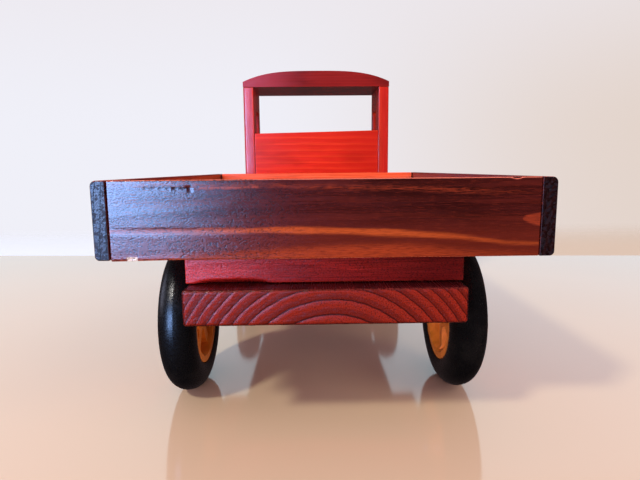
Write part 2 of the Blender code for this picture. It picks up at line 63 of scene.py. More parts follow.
class Graph:
    """Builds one material; every method adds a node and returns its output socket."""

    def __init__(self, name):
        self.material = bpy.data.materials.new(name)
        self.material.use_nodes = True
        self.tree = self.material.node_tree
        self.shader = self.tree.nodes["Principled BSDF"]
        self.xyz = self.object_mm()

    def plug(self, socket, value):
        if isinstance(value, bpy.types.NodeSocket):
            self.tree.links.new(value, socket)
        elif isinstance(value, tuple) and len(value) == 3 and socket.type == "RGBA":
            socket.default_value = (*value, 1.0)
        else:
            socket.default_value = value

    def add(self, kind, inputs=(), output=0, **settings):
        node = self.tree.nodes.new(kind)
        for key, value in settings.items():
            setattr(node, key, value)
        for key, value in dict(inputs).items():
            self.plug(node.inputs[key], value)
        return node.outputs[output]

    def math(self, operation, a, b=0.0):
        return self.add("ShaderNodeMath", {0: a, 1: b}, operation=operation)

    def sum(self, a, b):
        return self.math("ADD", a, b)

    def minus(self, a, b):
        return self.math("SUBTRACT", a, b)

    def times(self, a, b):
        return self.math("MULTIPLY", a, b)

    def swing(self, value, size):
        """Turn a value that runs about 0.5 into one that runs about 0, times a size."""
        return self.times(self.minus(value, 0.5), size)

    def combine(self, x, y, z):
        return self.add("ShaderNodeCombineXYZ", {0: x, 1: y, 2: z})

    def noise(self, vector, detail=2.0, roughness=0.5, distortion=0.0):
        """Noise with one cell per unit of the vector; its value runs from 0 to 1 about 0.5."""
        return self.add("ShaderNodeTexNoise", {"Vector": vector, "Scale": 1.0, "Detail": detail,
                                               "Roughness": roughness, "Distortion": distortion})

    def cells(self, rates, **options):
        """Noise with this many cells per millimetre along X, Y and Z; one number serves all three."""
        rates = rates if isinstance(rates, tuple) else (rates,) * 3
        places = [self.times(part, rate) for part, rate in zip(self.xyz, rates)]
        return self.noise(self.combine(*places), **options)

    def share(self, axis, box):
        """Runs from 0 to 1 through a box along an axis."""
        low, high = (corner[axis] / MM for corner in box)
        return self.math("DIVIDE", self.minus(self.xyz[axis], low), high - low)

    def smooth(self, value, start, end, low=0.0, high=1.0):
        """Run smoothly from low to high while the value goes from start to end."""
        return self.add("ShaderNodeMapRange", {"Value": value, "From Min": start, "From Max": end,
                                               "To Min": low, "To Max": high},
                        interpolation_type="SMOOTHSTEP")

    def mix(self, share, a, b, blend="MIX"):
        return self.add("ShaderNodeMix", {0: share, 6: a, 7: b}, 2, data_type="RGBA", blend_type=blend)

    def curve(self, value, points):
        """A smooth curve through given (position, value) points, all from 0 to 1."""
        node = self.tree.nodes.new("ShaderNodeFloatCurve")
        handles = node.mapping.curves[0].points
        handles[0].location, handles[1].location = points[0], points[-1]
        for point in points[1:-1]:
            handles.new(*point)
        node.mapping.update()
        self.plug(node.inputs["Value"], value)
        return node.outputs[0]

    def band(self, value, centre, half_width, softness):
        """1 inside a band about a centre and 0 outside, with soft edges."""
        distance = self.math("ABSOLUTE", self.minus(value, centre))
        inside = self.minus(half_width, distance)
        return self.smooth(inside, -softness, softness)

    def bump(self, height, distance_mm, below=None):
        inputs = {"Height": height, "Distance": distance_mm * MM, "Strength": 1.0}
        if below is not None:
            inputs["Normal"] = below
        return self.add("ShaderNodeBump", inputs)

    def coordinates(self, kind):
        split = self.tree.nodes.new("ShaderNodeSeparateXYZ")
        self.plug(split.inputs[0], self.add("ShaderNodeTexCoord", output=kind))
        return list(split.outputs)

    def object_mm(self):
        """The piece's own X, Y and Z in millimetres."""
        return [self.times(part, 1 / MM) for part in self.coordinates("Object")]

    def slope(self, axis):
        """How far a face looks along an axis, from 0 to 1 either way."""
        return self.math("ABSOLUTE", self.coordinates("Normal")[axis])

    def finish(self, colour, roughness, normal=None, **fixed):
        self.plug(self.shader.inputs["Base Color"], colour)
        self.plug(self.shader.inputs["Roughness"], roughness)
        if normal is not None:
            self.plug(self.shader.inputs["Normal"], normal)
        for key, value in fixed.items():
            self.shader.inputs[key.replace("_", " ")].default_value = value
        return self.material


class Wood(Graph):
    """Stained and varnished pine: growth rings about a pith line, fibres, stain blotches and pores.

    pith is the place of the rings' centre in the two directions across the grain, in X, Y, Z order.
    A ring's number is (radius / ring_scale_mm) ** ring_power - ring_offset, so a power above 1 packs the
    outer rings closer.  early and late are the colours inside a ring, end is the colour of cut ends.
    """

    def __init__(self, name, grain, pith, early, late, end, ring_scale_mm=3.0, ring_power=1.0,
                 ring_offset=0.0, warp_mm=1.2, specks_per_mm=1.5, seed=0.0):
        super().__init__(name)
        self.early, self.late, self.end = early, late, end
        across = [axis for axis in range(3) if axis != grain]
        self.along = self.xyz[grain]
        self.a, self.b = (self.xyz[axis] for axis in across)
        self.facing_end = self.smooth(self.slope(grain), 0.75, 0.95)

        wander = self.swing(self.drawn_out(0.012, 0.03, seed, detail=3), 2 * warp_mm)
        wobble = self.combine(self.times(self.a, 0.25), self.times(self.b, 0.25),
                              self.times(self.along, 0.02))
        wobble = self.swing(self.noise(wobble), 0.7)
        from_a = self.minus(self.a, pith[0])
        from_b = self.minus(self.b, pith[1])
        self.radius = self.math("SQRT", self.sum(self.times(from_a, from_a), self.times(from_b, from_b)))
        self.radius = self.sum(self.radius, self.sum(wander, wobble))
        rings = self.math("POWER", self.math("DIVIDE", self.radius, ring_scale_mm), ring_power)
        self.ring = self.math("FRACT", self.minus(rings, ring_offset))

        self.fibre = self.drawn_out(0.035, 1.6, detail=4, roughness=0.6)
        self.hair = self.drawn_out(0.12, 5.0)
        self.blotch = self.drawn_out(0.02, 0.07, seed, detail=3)
        rates = tuple(specks_per_mm * (0.6 if axis == grain else 1.0) for axis in range(3))
        self.speck = self.cells(rates, roughness=0.6)

    def drawn_out(self, lengthwise, across, seed=0.0, **options):
        """Noise with its own number of cells per millimetre along the grain and across it."""
        along = self.sum(self.times(self.along, lengthwise), seed)
        place = self.combine(along, self.times(self.a, across), self.times(self.b, across))
        return self.noise(place, **options)

    def shaded(self, colour, pattern, start, end, depth):
        """Darken a colour by a depth where a pattern is low."""
        shade = self.mix(self.smooth(pattern, start, end), (1 - depth,) * 3, (1.0, 1.0, 1.0))
        return self.mix(1.0, colour, shade, "MULTIPLY")

    def face_colour(self, ring_share=0.6, fibre_depth=0.55, blotch_depth=0.5):
        """Colour of the faces along the grain."""
        latewood = self.smooth(self.ring, 0.45, 0.95)
        colour = self.mix(self.times(latewood, ring_share), self.early, self.late)
        colour = self.shaded(colour, self.fibre, 0.32, 0.62, fibre_depth)
        return self.shaded(colour, self.blotch, 0.30, 0.60, blotch_depth)

    def end_colour(self):
        """Colour of the cut ends: dark latewood lines, a porous band beside each and a smooth band."""
        line = self.math("MAXIMUM", self.smooth(self.ring, 0.10, 0.02), self.smooth(self.ring, 0.93, 0.99))
        porous = self.times(self.smooth(self.ring, 0.50, 0.30), self.smooth(self.speck, 0.42, 0.60))
        smooth_band = tuple(min(1.0, part * 1.25) for part in self.end)
        colour = self.mix(self.smooth(self.ring, 0.35, 0.6), self.end, smooth_band)
        colour = self.mix(self.times(porous, 0.7), colour, tuple(part * 0.35 for part in self.end))
        return self.mix(self.times(line, 0.85), colour, tuple(part * 0.12 for part in self.end))

    def varnished(self, colour, roughness=0.26, grain_mm=0.04, speck_mm=0.04, wear=(0.62, 0.12, 0.06),
                  wear_share=0.5, gloss=0.30, pits=0.0, dull=0.0):
        """Put cut ends, pits, lighter sanded edges, bump and varnish on the faces' colour.

        Only level edges are rubbed lighter.  pits (how dark they are) and dull (extra roughness) can
        be numbers or sockets.
        """
        colour = self.mix(self.facing_end, colour, self.end_colour())
        pit = self.times(self.smooth(self.speck, 0.50, 0.36), pits)
        colour = self.mix(pit, colour, (0.006, 0.002, 0.003))
        worn = self.add("ShaderNodeAttribute", output="Fac", attribute_name="edge")
        edge = self.times(self.smooth(worn, 0.25, 0.95), self.smooth(self.slope(2), 0.12, 0.45))
        rubbed = self.times(edge, self.smooth(self.speck, 0.30, 0.62))
        colour = self.mix(self.times(rubbed, wear_share), colour, wear)
        ends = self.times(self.facing_end, self.smooth(self.ring, 0.16, 0.0, 0.0, 0.9))
        relief = self.minus(self.times(self.hair, 0.8), ends)
        normal = self.bump(relief, grain_mm)
        normal = self.bump(self.speck, speck_mm, below=normal)
        polish = self.sum(self.sum(roughness, self.swing(self.fibre, 0.16)), dull)
        return self.finish(colour, polish, normal, Specular_IOR_Level=gloss)


def plain_wood(name, grain, pith, early, late, end, **options):
    """A complete wood material for boards that have no special marks."""
    finish = {key: options.pop(key) for key in ("roughness", "speck_mm", "wear_share", "gloss", "pits")
              if key in options}
    face = {key: options.pop(key) for key in ("fibre_depth", "blotch_depth") if key in options}
    wood = Wood(name, grain, pith, early, late, end, **options)
    return wood.varnished(wood.face_colour(**face), **finish)


# ================================================================ mesh building

def new_object(name, mesh):
    piece = bpy.data.objects.new(name, mesh)
    bpy.context.scene.collection.objects.link(piece)
    return piece


def stand_for(piece, node, material):
    """Let a piece stand for a CAD node: it takes the node's body and the given material."""
    piece.data.materials.clear()
    piece.data.materials.append(material)
    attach(piece, BODIES[node])
    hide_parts(node)


CORNER_STEPS = 4


def grid_places(half, radius, cell):
    """Places along one side of a rounded block: close together round the edges, even between them."""
    corner = [radius * math.tan(math.pi / 4 * step / CORNER_STEPS) for step in range(CORNER_STEPS + 1)]
    straight = half - radius
    count = max(2, round(2 * straight / cell))
    middle = np.linspace(-straight, straight, count + 1)[1:-1]
    right = [straight + step for step in corner]
    return np.array([-place for place in reversed(right)] + list(middle) + right)


def rounded_block(name, low, high, radius, cells, relief=None):
    """A board with rounded edges, as a fine grid whose vertices a relief function can move.

    The point attribute "edge" runs from 0 on the flats to 1 on the middle of a rounded edge.
    relief(points, normals) takes world points and returns how far each moves outwards, in metres.
    """
    low, high = np.array(low), np.array(high)
    centre, half = (low + high) / 2, (high - low) / 2
    places = [grid_places(half[axis], radius, cells[axis]) for axis in range(3)]
    points, faces, start = [], [], 0
    for axis in range(3):
        first, second = (axis + 1) % 3, (axis + 2) % 3
        rows, columns = len(places[first]), len(places[second])
        grid_a, grid_b = np.meshgrid(places[first], places[second], indexing="ij")
        index = np.arange(rows * columns).reshape(rows, columns)
        quads = np.stack([index[:-1, :-1], index[1:, :-1], index[1:, 1:], index[:-1, 1:]], -1).reshape(-1, 4)
        for side in (-1, 1):
            sheet = np.zeros((rows * columns, 3))
            sheet[:, axis] = side * half[axis]
            sheet[:, first], sheet[:, second] = grid_a.ravel(), grid_b.ravel()
            points.append(sheet)
            faces.append((quads if side > 0 else quads[:, ::-1]) + start)
            start += rows * columns
    points, faces = np.concatenate(points), np.concatenate(faces)
    _, keep, merged = np.unique(np.round(points, 8), axis=0, return_index=True, return_inverse=True)
    points, faces = points[keep], merged.reshape(-1)[faces]

    inner = np.clip(points, radius - half, half - radius)
    outwards = points - inner
    normals = outwards / np.linalg.norm(outwards, axis=1, keepdims=True)
    points = centre + inner + normals * radius
    edge = np.clip((1 - np.abs(normals).max(axis=1)) / (1 - math.sqrt(0.5)), 0, 1)
    if relief is not None:
        points = points + normals * relief(points, normals)[:, None]
    mesh = bpy.data.meshes.new(name)
    mesh.from_pydata(points.tolist(), [], faces.tolist())
    mesh.attributes.new("edge", "FLOAT", "POINT").data.foreach_set("value", edge.astype(np.float32))
    mesh.shade_smooth()
    return new_object(name, mesh)


def noise_field(points_mm, scales, seed):
    """Smooth noise from about -1 to 1 at each point, with its own scale along each axis."""
    scaled = points_mm * np.array(scales) + seed
    return np.array([noise.fractal(Vector(point), 1.0, 2.0, 2) for point in scaled])


def sanded(grain, depth_mm, seed):
    """Relief of a hand-sanded board: shallow waves drawn out along the grain."""
    scales = [0.12, 0.12, 0.12]
    scales[grain] = 0.02

    def relief(points, normals):
        return -depth_mm * MM * np.abs(noise_field(points / MM, scales, seed))
    return relief


def board(node, material, relief=None, edge_mm=0.7, cells_mm=(4.0, 4.0, 4.0), screws=()):
    """A rounded board in place of a CAD node's box, countersunk for its screws."""
    relief = relief or sanded(GRAIN_X, 0.12, len(node) * 7.3)
    cells = [cell * MM for cell in cells_mm]
    piece = rounded_block(node + "_wood", *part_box(node), edge_mm * MM, cells, relief)
    if screws:
        countersink(piece, screws)
    stand_for(piece, node, material)


def turned(name, profile, steps, matrix, closed=True):
    """Turn (radius, height) points about local Z; a profile that isn't closed starts and ends on the axis."""
    points, faces = [], []
    rings = profile if closed else profile[1:-1]
    count = len(rings)
    for step in range(steps):
        angle = 2 * math.pi * step / steps
        points += [(radius * math.cos(angle), radius * math.sin(angle), height) for radius, height in rings]
    for step in range(steps):
        here, there = step * count, (step + 1) % steps * count
        for i in range(count if closed else count - 1):
            j = (i + 1) % count
            faces.append((here + i, here + j, there + j, there + i))
    if not closed:
        points += [(0, 0, profile[0][1]), (0, 0, profile[-1][1])]
        first, last = len(points) - 2, len(points) - 1
        for step in range(steps):
            here, there = step * count, (step + 1) % steps * count
            faces.append((first, here, there))
            faces.append((last, there + count - 1, here + count - 1))
    mesh = bpy.data.meshes.new(name)
    mesh.from_pydata(points, [], faces)
    mesh.transform(matrix)
    mesh.shade_smooth()
    mesh.set_sharp_from_angle(angle=math.radians(50))
    return new_object(name, mesh)


def evaluated_mesh(piece):
    """A new mesh of a piece as its modifiers make it."""
    bpy.context.view_layer.update()
    graph = bpy.context.evaluated_depsgraph_get()
    return bpy.data.meshes.new_from_object(piece.evaluated_get(graph))


def apply_modifiers(piece):
    """Bake a piece's modifiers into its mesh."""
    mesh, old = evaluated_mesh(piece), piece.data
    piece.modifiers.clear()
    piece.data = mesh
    bpy.data.meshes.remove(old)


def cut(piece, cutters):
    """Cut shapes out of a piece and remove the cutters."""
    for cutter in cutters:
        boolean = piece.modifiers.new("cut", "BOOLEAN")
        boolean.operation = "DIFFERENCE"
        boolean.object = cutter
    apply_modifiers(piece)
    for cutter in cutters:
        bpy.data.objects.remove(cutter)


def round_edges(piece, width_mm, segments=3, angle=35):
    """Round a piece's sharp edges, mark them in the "edge" attribute and keep its flats flat."""
    bevel = piece.modifiers.new("rounded", "BEVEL")
    bevel.width = width_mm * MM
    bevel.segments = segments
    bevel.limit_method = "ANGLE"
    bevel.angle_limit = math.radians(angle)
    bevel.harden_normals = True
    piece.data.shade_smooth()
    apply_modifiers(piece)
    mark_edges(piece.data)


def mark_edges(mesh):
    """Mark the points where small faces meet at an angle as worn edges."""
    solid = bmesh.new()
    solid.from_mesh(mesh)
    values = []
    for vert in solid.verts:
        bends = [edge.calc_face_angle(0.0) for edge in vert.link_edges]
        values.append(min(1.0, max(bends) / math.radians(25)))
    solid.free()
    layer = mesh.attributes.get("edge") or mesh.attributes.new("edge", "FLOAT", "POINT")
    layer.data.foreach_set("value", values)


def slab(name, outlines, axis, start, end):
    """Extrude closed outlines along an axis; the first is the outside, the others are holes.

    Outline points are the two coordinates across the axis, in X, Y, Z order.
    """
    curve = bpy.data.curves.new(name, "CURVE")
    curve.dimensions = "2D"
    curve.fill_mode = "BOTH"
    curve.extrude = (end - start) / 2
    for points in outlines:
        spline = curve.splines.new("POLY")
        spline.points.add(len(points) - 1)
        for point, (x, y) in zip(spline.points, points):
            point.co = (x, y, 0, 1)
        spline.use_cyclic_u = True
    drawn = new_object(name, curve)
    mesh = evaluated_mesh(drawn)
    bpy.data.objects.remove(drawn)
    stand = Matrix.Diagonal((0.0, 0.0, 0.0, 1.0))
    first, second = (other for other in range(3) if other != axis)
    for row, column in ((first, 0), (second, 1), (axis, 2)):
        stand[row][column] = 1.0
    stand[axis][3] = (start + end) / 2
    solid = bmesh.new()
    solid.from_mesh(mesh)
    bmesh.ops.remove_doubles(solid, verts=solid.verts, dist=0.001 * MM)
    bmesh.ops.dissolve_limit(solid, angle_limit=math.radians(0.5), verts=solid.verts, edges=solid.edges)
    solid.transform(stand)
    bmesh.ops.recalc_face_normals(solid, faces=solid.faces)
    solid.to_mesh(mesh)
    solid.free()
    return new_object(name, mesh)


def arc(centre, radius, start, end, points):
    """Points along an arc, from start to end in degrees."""
    angles = [math.radians(start + (end - start) * i / (points - 1)) for i in range(points)]
    return [(centre[0] + radius * math.cos(angle), centre[1] + radius * math.sin(angle)) for angle in angles]


def rounded_rectangle(low, high, radius):
    outline = []
    for i, (x, y) in enumerate(((1, 1), (0, 1), (0, 0), (1, 0))):
        centre = ((low[0] + radius, high[0] - radius)[x], (low[1] + radius, high[1] - radius)[y])
        outline += arc(centre, radius, 90 * i, 90 * i + 90, 6)
    return outline


def sawn(node, material, outlines, axis, edge_mm, angle=35):
    """A piece sawn to outlines across an axis, as long as its CAD node's box, with rounded edges."""
    low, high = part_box(node)
    piece = slab(node + "_wood", outlines, axis, low[axis], high[axis])
    round_edges(piece, edge_mm, angle=angle)
    stand_for(piece, node, material)


def cad_points(node):
    return np.array([vert.co for vert in frame["nodes"][node].data.vertices])


# ================================================================ colours (linear)

RED = (0.60, 0.030, 0.014)
ORANGE_RED = (0.80, 0.075, 0.020)
CRIMSON_LIGHT = (0.42, 0.022, 0.020)
PLUM = (0.042, 0.0050, 0.0040)
PLUM_LIGHT = (0.075, 0.0090, 0.0055)
AMBER_GRAIN = (0.35, 0.058, 0.010)
END_DARK = (0.012, 0.0030, 0.0028)
END_CRIMSON = (0.160, 0.0100, 0.0035)
END_RED = (0.33, 0.018, 0.012)


# ================================================================ tray

STREAK_CENTRE = [(0.0, 0.375), (0.2, 0.36), (0.42, 0.365), (0.6, 0.33), (0.79, 0.265), (0.92, 0.185),
                 (1.0, 0.155)]
TEAR_HEIGHT = 0.893
TEAR_SPAN = (0.080, 0.195)
SCRATCH_END = 0.345
CHIP_ALONG = 0.050


def tailboard_material():
    """Dark stained board with an amber streak right across it and lighter grain near both long edges."""
    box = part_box("tailboard")
    wood = Wood("tailboard_wood", GRAIN_X, (300.0, box[1].z / MM + 260.0), PLUM, PLUM_LIGHT, END_DARK,
                ring_scale_mm=3.4, warp_mm=2.5, specks_per_mm=1.9, seed=3.1)
    along = wood.share(0, box)
    wavy = wood.sum(wood.swing(wood.fibre, 0.05), wood.swing(wood.cells((0.05, 0.0, 0.22), detail=3), 0.05))
    up = wood.sum(wood.share(2, box), wavy)
    fleck = wood.cells((0.22, 0.0, 2.6), detail=3, roughness=0.6, distortion=0.4)

    def line(height, half, softness, strength, painted_sheen_place):
        """A line that follows a height; the flecks break it up."""
        whole = wood.times(wood.band(up, height, half, softness), strength)
        return wood.times(whole, wood.smooth(fleck, *painted_sheen_place))

    colour = wood.face_colour(ring_share=0.6, fibre_depth=0.35, blotch_depth=0.45)
    colour = wood.mix(wood.smooth(up, 0.62, 0.18, 0.0, 0.65), colour, (0.105, 0.0120, 0.0050))
    colour = wood.mix(wood.times(wood.band(along, 0.38, 0.10, 0.18), 0.22), colour, (0.13, 0.012, 0.009))
    colour = wood.mix(wood.smooth(fleck, 0.50, 0.70, 0.0, 0.30), colour, (0.15, 0.019, 0.0075))

    half = wood.curve(along, [(0.0, 0.020), (0.3, 0.034), (0.5, 0.040), (0.7, 0.038), (0.85, 0.026),
                              (1.0, 0.016)])
    strength = wood.curve(along, [(0, 0.50), (0.15, 0.6), (0.3, 0.95), (0.7, 0.85), (0.85, 0.6), (1, 0.5)])
    amber = line(wood.curve(along, STREAK_CENTRE), half, 0.026, strength, (0.30, 0.58, 0.55, 1.0))
    colour = wood.mix(amber, colour, AMBER_GRAIN)

    top = wood.curve(along, [(0.0, 0.96), (0.3, 0.925), (0.5, 0.90), (0.7, 0.868), (0.85, 0.83), (1.0, 0.80)])
    strength = wood.curve(along, [(0.0, 0.1), (0.25, 0.6), (0.5, 0.7), (0.75, 0.75), (0.88, 0.4), (1.0, 0.1)])
    colour = wood.mix(line(top, 0.024, 0.030, strength, (0.38, 0.62)), colour, (0.215, 0.028, 0.009))

    reach = wood.curve(along, [(0, 0.02), (0.25, 0.06), (0.5, 0.13), (0.7, 0.13), (0.85, 0.05), (1, 0.02)])
    strength = wood.curve(along, [(0.0, 0.35), (0.3, 0.85), (0.6, 0.85), (0.9, 0.45), (1.0, 0.3)])
    lower = wood.times(wood.smooth(wood.minus(reach, up), -0.09, 0.05), strength)
    lower = wood.times(lower, wood.smooth(fleck, 0.28, 0.60, 0.25, 1.0))
    colour = wood.mix(lower, colour, (0.28, 0.036, 0.008))

    from_joint = wood.minus(1.0, along)
    tip = wood.math("SQRT", wood.math("MAXIMUM", wood.minus(0.0072, wood.times(from_joint, 0.17)), 0.0))
    spear = line(0.475, tip, 0.016, wood.smooth(from_joint, 0.045, 0.041, 0.0, 0.9), (0.32, 0.6, 0.45, 1.0))
    colour = wood.mix(spear, colour, (0.21, 0.027, 0.009))

    start, end = TEAR_SPAN
    inside = wood.times(wood.smooth(along, start - 0.01, start + 0.03),
                        wood.smooth(along, end + 0.005, end - 0.003))
    dashes = wood.smooth(wood.cells((0.75, 0.0, 0.3), detail=1), 0.34, 0.46, 0.24, 0.95)
    tear = wood.times(wood.band(up, TEAR_HEIGHT, 0.012, 0.010), wood.times(inside, dashes))
    # Painted shade: the torn groove is painted near black.
    colour = wood.mix(tear, colour, (0.008, 0.003, 0.006))
    scratch = wood.times(wood.smooth(along, end, end + 0.02),
                         wood.smooth(along, SCRATCH_END + 0.004, SCRATCH_END - 0.004, 0.0, 0.7))
    scratch = wood.times(scratch, wood.band(up, TEAR_HEIGHT, 0.008, 0.014))
    colour = wood.mix(scratch, colour, (0.36, 0.055, 0.020))
    chip = wood.times(wood.band(along, CHIP_ALONG, 0.012, 0.002), wood.smooth(up, 0.055, 0.035))
    colour = wood.mix(chip, colour, (0.80, 0.70, 0.66))
    # Painted highlight: the tailboard's top face is painted light orange, where light from above falls on it.
    painted_top_highlight = wood.smooth(wood.coordinates("Normal")[2], 0.30, 0.80, 0.0, 0.85)
    colour = wood.mix(painted_top_highlight, colour, (0.66, 0.17, 0.10))
    return wood.varnished(colour, roughness=0.17, speck_mm=0.085, grain_mm=0.02, wear=(0.66, 0.17, 0.09),
                          wear_share=0.8, gloss=0.60, pits=wood.smooth(along, 0.55, 0.25, 0.0, 0.8),
                          dull=wood.times(amber, wood.smooth(along, 0.30, 0.15, 0.0, 0.25)))


TAILBOARD_MARKS = (
    # (share of the length, share of the height, half length mm, half height mm, depth mm)
    (0.192, 0.880, 0.40, 1.5, 0.7),
    (0.186, 0.915, 0.9, 0.4, 0.4),
    (0.349, 0.885, 0.30, 0.8, 0.25),
    (0.940, 1.000, 2.2, 0.9, 0.7),
    (CHIP_ALONG, 0.000, 2.4, 0.8, 0.7),
)


def tailboard_relief(points, normals):
    """Sanding waves, a sunken streak, a torn grain line with a pit, chips and a bowed lower left end."""
    low, high = (np.array(corner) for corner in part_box("tailboard"))
    share = (points - low) / (high - low)
    size_mm = (high - low) / MM
    depth = 0.10 * np.abs(noise_field(points / MM, (0.02, 0.1, 0.12), 5.0))
    rear = normals[:, 1] < -0.3
    for along, up, half_length, half_height, deep in TAILBOARD_MARKS:
        dx = (share[:, 0] - along) * size_mm[0] / half_length
        dz = (share[:, 2] - up) * size_mm[2] / half_height
        depth += rear * deep * np.clip(1.2 - dx ** 2 - dz ** 2, 0, 1)
    streak = np.interp(share[:, 0], *zip(*STREAK_CENTRE))
    sunken = 1 / (1 + np.exp((np.abs(share[:, 2] - streak) * size_mm[2] - 1.1) / 0.16))
    depth += rear * 0.10 * sunken * np.interp(share[:, 0], (0.0, 0.06, 0.12, 0.65), (0.2, 0.7, 1.0, 0.15))
    on_line = np.exp(-((share[:, 2] - TEAR_HEIGHT) * size_mm[2] / 0.35) ** 2)
    middle, half = sum(TEAR_SPAN) / 2, (TEAR_SPAN[1] - TEAR_SPAN[0]) / 2
    tear = np.clip(1 - ((share[:, 0] - middle) / half) ** 4, 0, 1)
    ragged = np.clip(0.3 + 1.5 * noise_field(points / MM, (0.9, 0.1, 0.9), 9.0), 0, 1)
    depth += rear * tear * on_line * ragged * 0.4
    depth -= 0.45 * np.clip(-normals[:, 2], 0, 1) ** 4 * np.clip(1 - share[:, 0] / 0.16, 0, 1)
    return -depth * MM


def side_board_material():
    """Dark long boards with a painted salmon highlight on their tops; the ends are nearly black, with dull
    patches and corners.
    """
    wood = Wood("tray_side_wood", GRAIN_Y, (140.0, 90.0), (0.09, 0.010, 0.006), (0.20, 0.024, 0.010),
                END_DARK, ring_scale_mm=2.6, specks_per_mm=1.2)
    # Painted highlight: the top faces are painted salmon, where light from above falls on them.
    painted_top_highlight = wood.smooth(wood.coordinates("Normal")[2], 0.45, 0.90, 0.0, 0.85)
    colour = wood.mix(painted_top_highlight, wood.face_colour(), (0.52, 0.075, 0.045))
    patches = wood.times(wood.smooth(wood.cells(0.8, detail=3), 0.46, 0.60), wood.facing_end)
    sideways = wood.slope(0)
    corners = wood.times(wood.smooth(sideways, 0.15, 0.40), wood.smooth(sideways, 0.995, 0.95))
    dull = wood.times(wood.math("MAXIMUM", patches, corners), 0.30)
    return wood.varnished(colour, roughness=0.20, speck_mm=0.09, wear_share=0.0, gloss=0.34, pits=0.8,
                          dull=dull)


def build_side_board(side, node, material):
    """A long board whose two outer edges are rounded by sanding and whose inner edges stay crisp."""
    low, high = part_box(node)
    inner, outer = (high.x, low.x) if side < 0 else (low.x, high.x)
    top, bottom = 2.4 * MM, 2.0 * MM
    crisp = (0.7 if side < 0 else 0.25) * MM
    outline = []
    for x, z, radius, start in ((outer, high.z, top, 0), (inner, high.z, crisp, 90),
                                (inner, low.z, crisp, 180), (outer, low.z, bottom, 270)):
        across = 1 if x == outer else -1
        rise = 1 if z == high.z else -1
        corner = arc((0, 0), radius, start, start + 90, 9)
        outline += [(x + side * (u - across * radius), z + w - rise * radius) for u, w in corner]
    sawn(node, material, [outline], 1, 0.5, angle=60)


def build_tray():
    board("tailboard", tailboard_material(), tailboard_relief, 0.6, (0.8, 2.0, 0.45))
    dark_side = side_board_material()
    for side, node in ((-1, "tray_side_left"), (1, "tray_side_right")):
        build_side_board(side, node, dark_side)
    red = plain_wood("headboard_wood", GRAIN_X, (400.0, 330.0), (0.96, 0.105, 0.026), (0.98, 0.15, 0.05),
                     END_RED, fibre_depth=0.35, blotch_depth=0.3, seed=4.0)
    board("headboard", red, cells_mm=(3.0, 3.0, 3.0))
    bed = plain_wood("tray_floor_wood", GRAIN_Y, (10.0, -40.0), (0.42, 0.024, 0.012), RED, END_RED, seed=6.0)
    board("tray_floor", bed, sanded(GRAIN_Y, 0.1, 2.0), 0.3, (5.0, 5.0, 5.0))


# ================================================================ chassis

PLANK_PITH_MM = (3.0, 29.0)          # sideways, and height above the floor
PLANK_RING_SCALE_MM = 24.1
PLANK_RING_POWER = 2.0
PLANK_RING_OFFSET = 0.57


def plank_relief(points, normals):
    """Rough sawn end with a groove along every latewood line, and sanding waves elsewhere."""
    mm = points / MM
    depth = 0.10 * np.abs(noise_field(mm, (0.12, 0.02, 0.12), 1.0))
    ends = np.abs(normals[:, 1]) > 0.6
    radius = np.hypot(mm[:, 0] - PLANK_PITH_MM[0], mm[:, 2] - PLANK_PITH_MM[1])
    radius += 0.5 * noise_field(mm, (0.10, 0.02, 0.10), 21.0)
    ring = np.mod((radius / PLANK_RING_SCALE_MM) ** PLANK_RING_POWER - PLANK_RING_OFFSET, 1.0)
    groove = np.exp(-(np.minimum(ring, 1 - ring) / 0.09) ** 2)
    rough = np.clip(noise_field(mm, (1.2, 0.3, 1.2), 8.0), -1, 1)
    depth += ends * (0.15 * groove + 0.11 * (1 + rough) * (ring < 0.6))
    return -depth * MM


def bolster_relief(points, normals):
    """Sanding waves, and a waney stretch where the left part of the lower rear edge is missing."""
    low, high = (np.array(corner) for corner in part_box("rear_bolster"))
    share = (points - low) / (high - low)
    depth = 0.10 * np.abs(noise_field(points / MM, (0.02, 0.12, 0.12), 3.0))
    hollow = np.sqrt(np.clip(1 - ((share[:, 0] - 0.17) / 0.135) ** 2, 0, 1))
    reach = 2.4 * hollow + 0.25 * noise_field(points / MM, (0.12, 0.0, 0.0), 6.0) * hollow
    above, ahead = (points[:, 2] - low[2]) / MM, (points[:, 1] - low[1]) / MM
    depth += (normals[:, 1] < -0.3) * np.clip(reach - above, 0, None) * 1.3
    depth += (normals[:, 2] < -0.3) * np.clip(reach - ahead / 1.3, 0, None)
    return -depth * MM


def bolster_material():
    """Crimson cross grain, with painted light that makes the left end lighter and pinker and painted shade
    that makes the right end darker.
    """
    wood = Wood("bolster_wood", GRAIN_X, (60.0, 120.0), (0.33, 0.012, 0.008), (0.52, 0.018, 0.010),
                END_CRIMSON, ring_scale_mm=1.6, specks_per_mm=1.8, seed=2.0)
    along = wood.sum(wood.share(0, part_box("rear_bolster")), wood.swing(wood.blotch, 0.25))
    colour = wood.face_colour(fibre_depth=0.50, blotch_depth=0.3)
    # Painted light: the left end is painted lighter and pinker.
    colour = wood.mix(wood.smooth(along, 0.45, 0.02, 0.0, 0.65), colour, (0.82, 0.030, 0.022))
    # Painted shade: the right end is painted darker, as under the tray's overhang.
    colour = wood.mix(wood.smooth(along, 0.50, 0.95, 0.0, 0.75), colour, (0.080, 0.0035, 0.0030))
    return wood.varnished(colour, roughness=0.20, speck_mm=0.15, wear_share=0.2, gloss=0.38, pits=0.6)


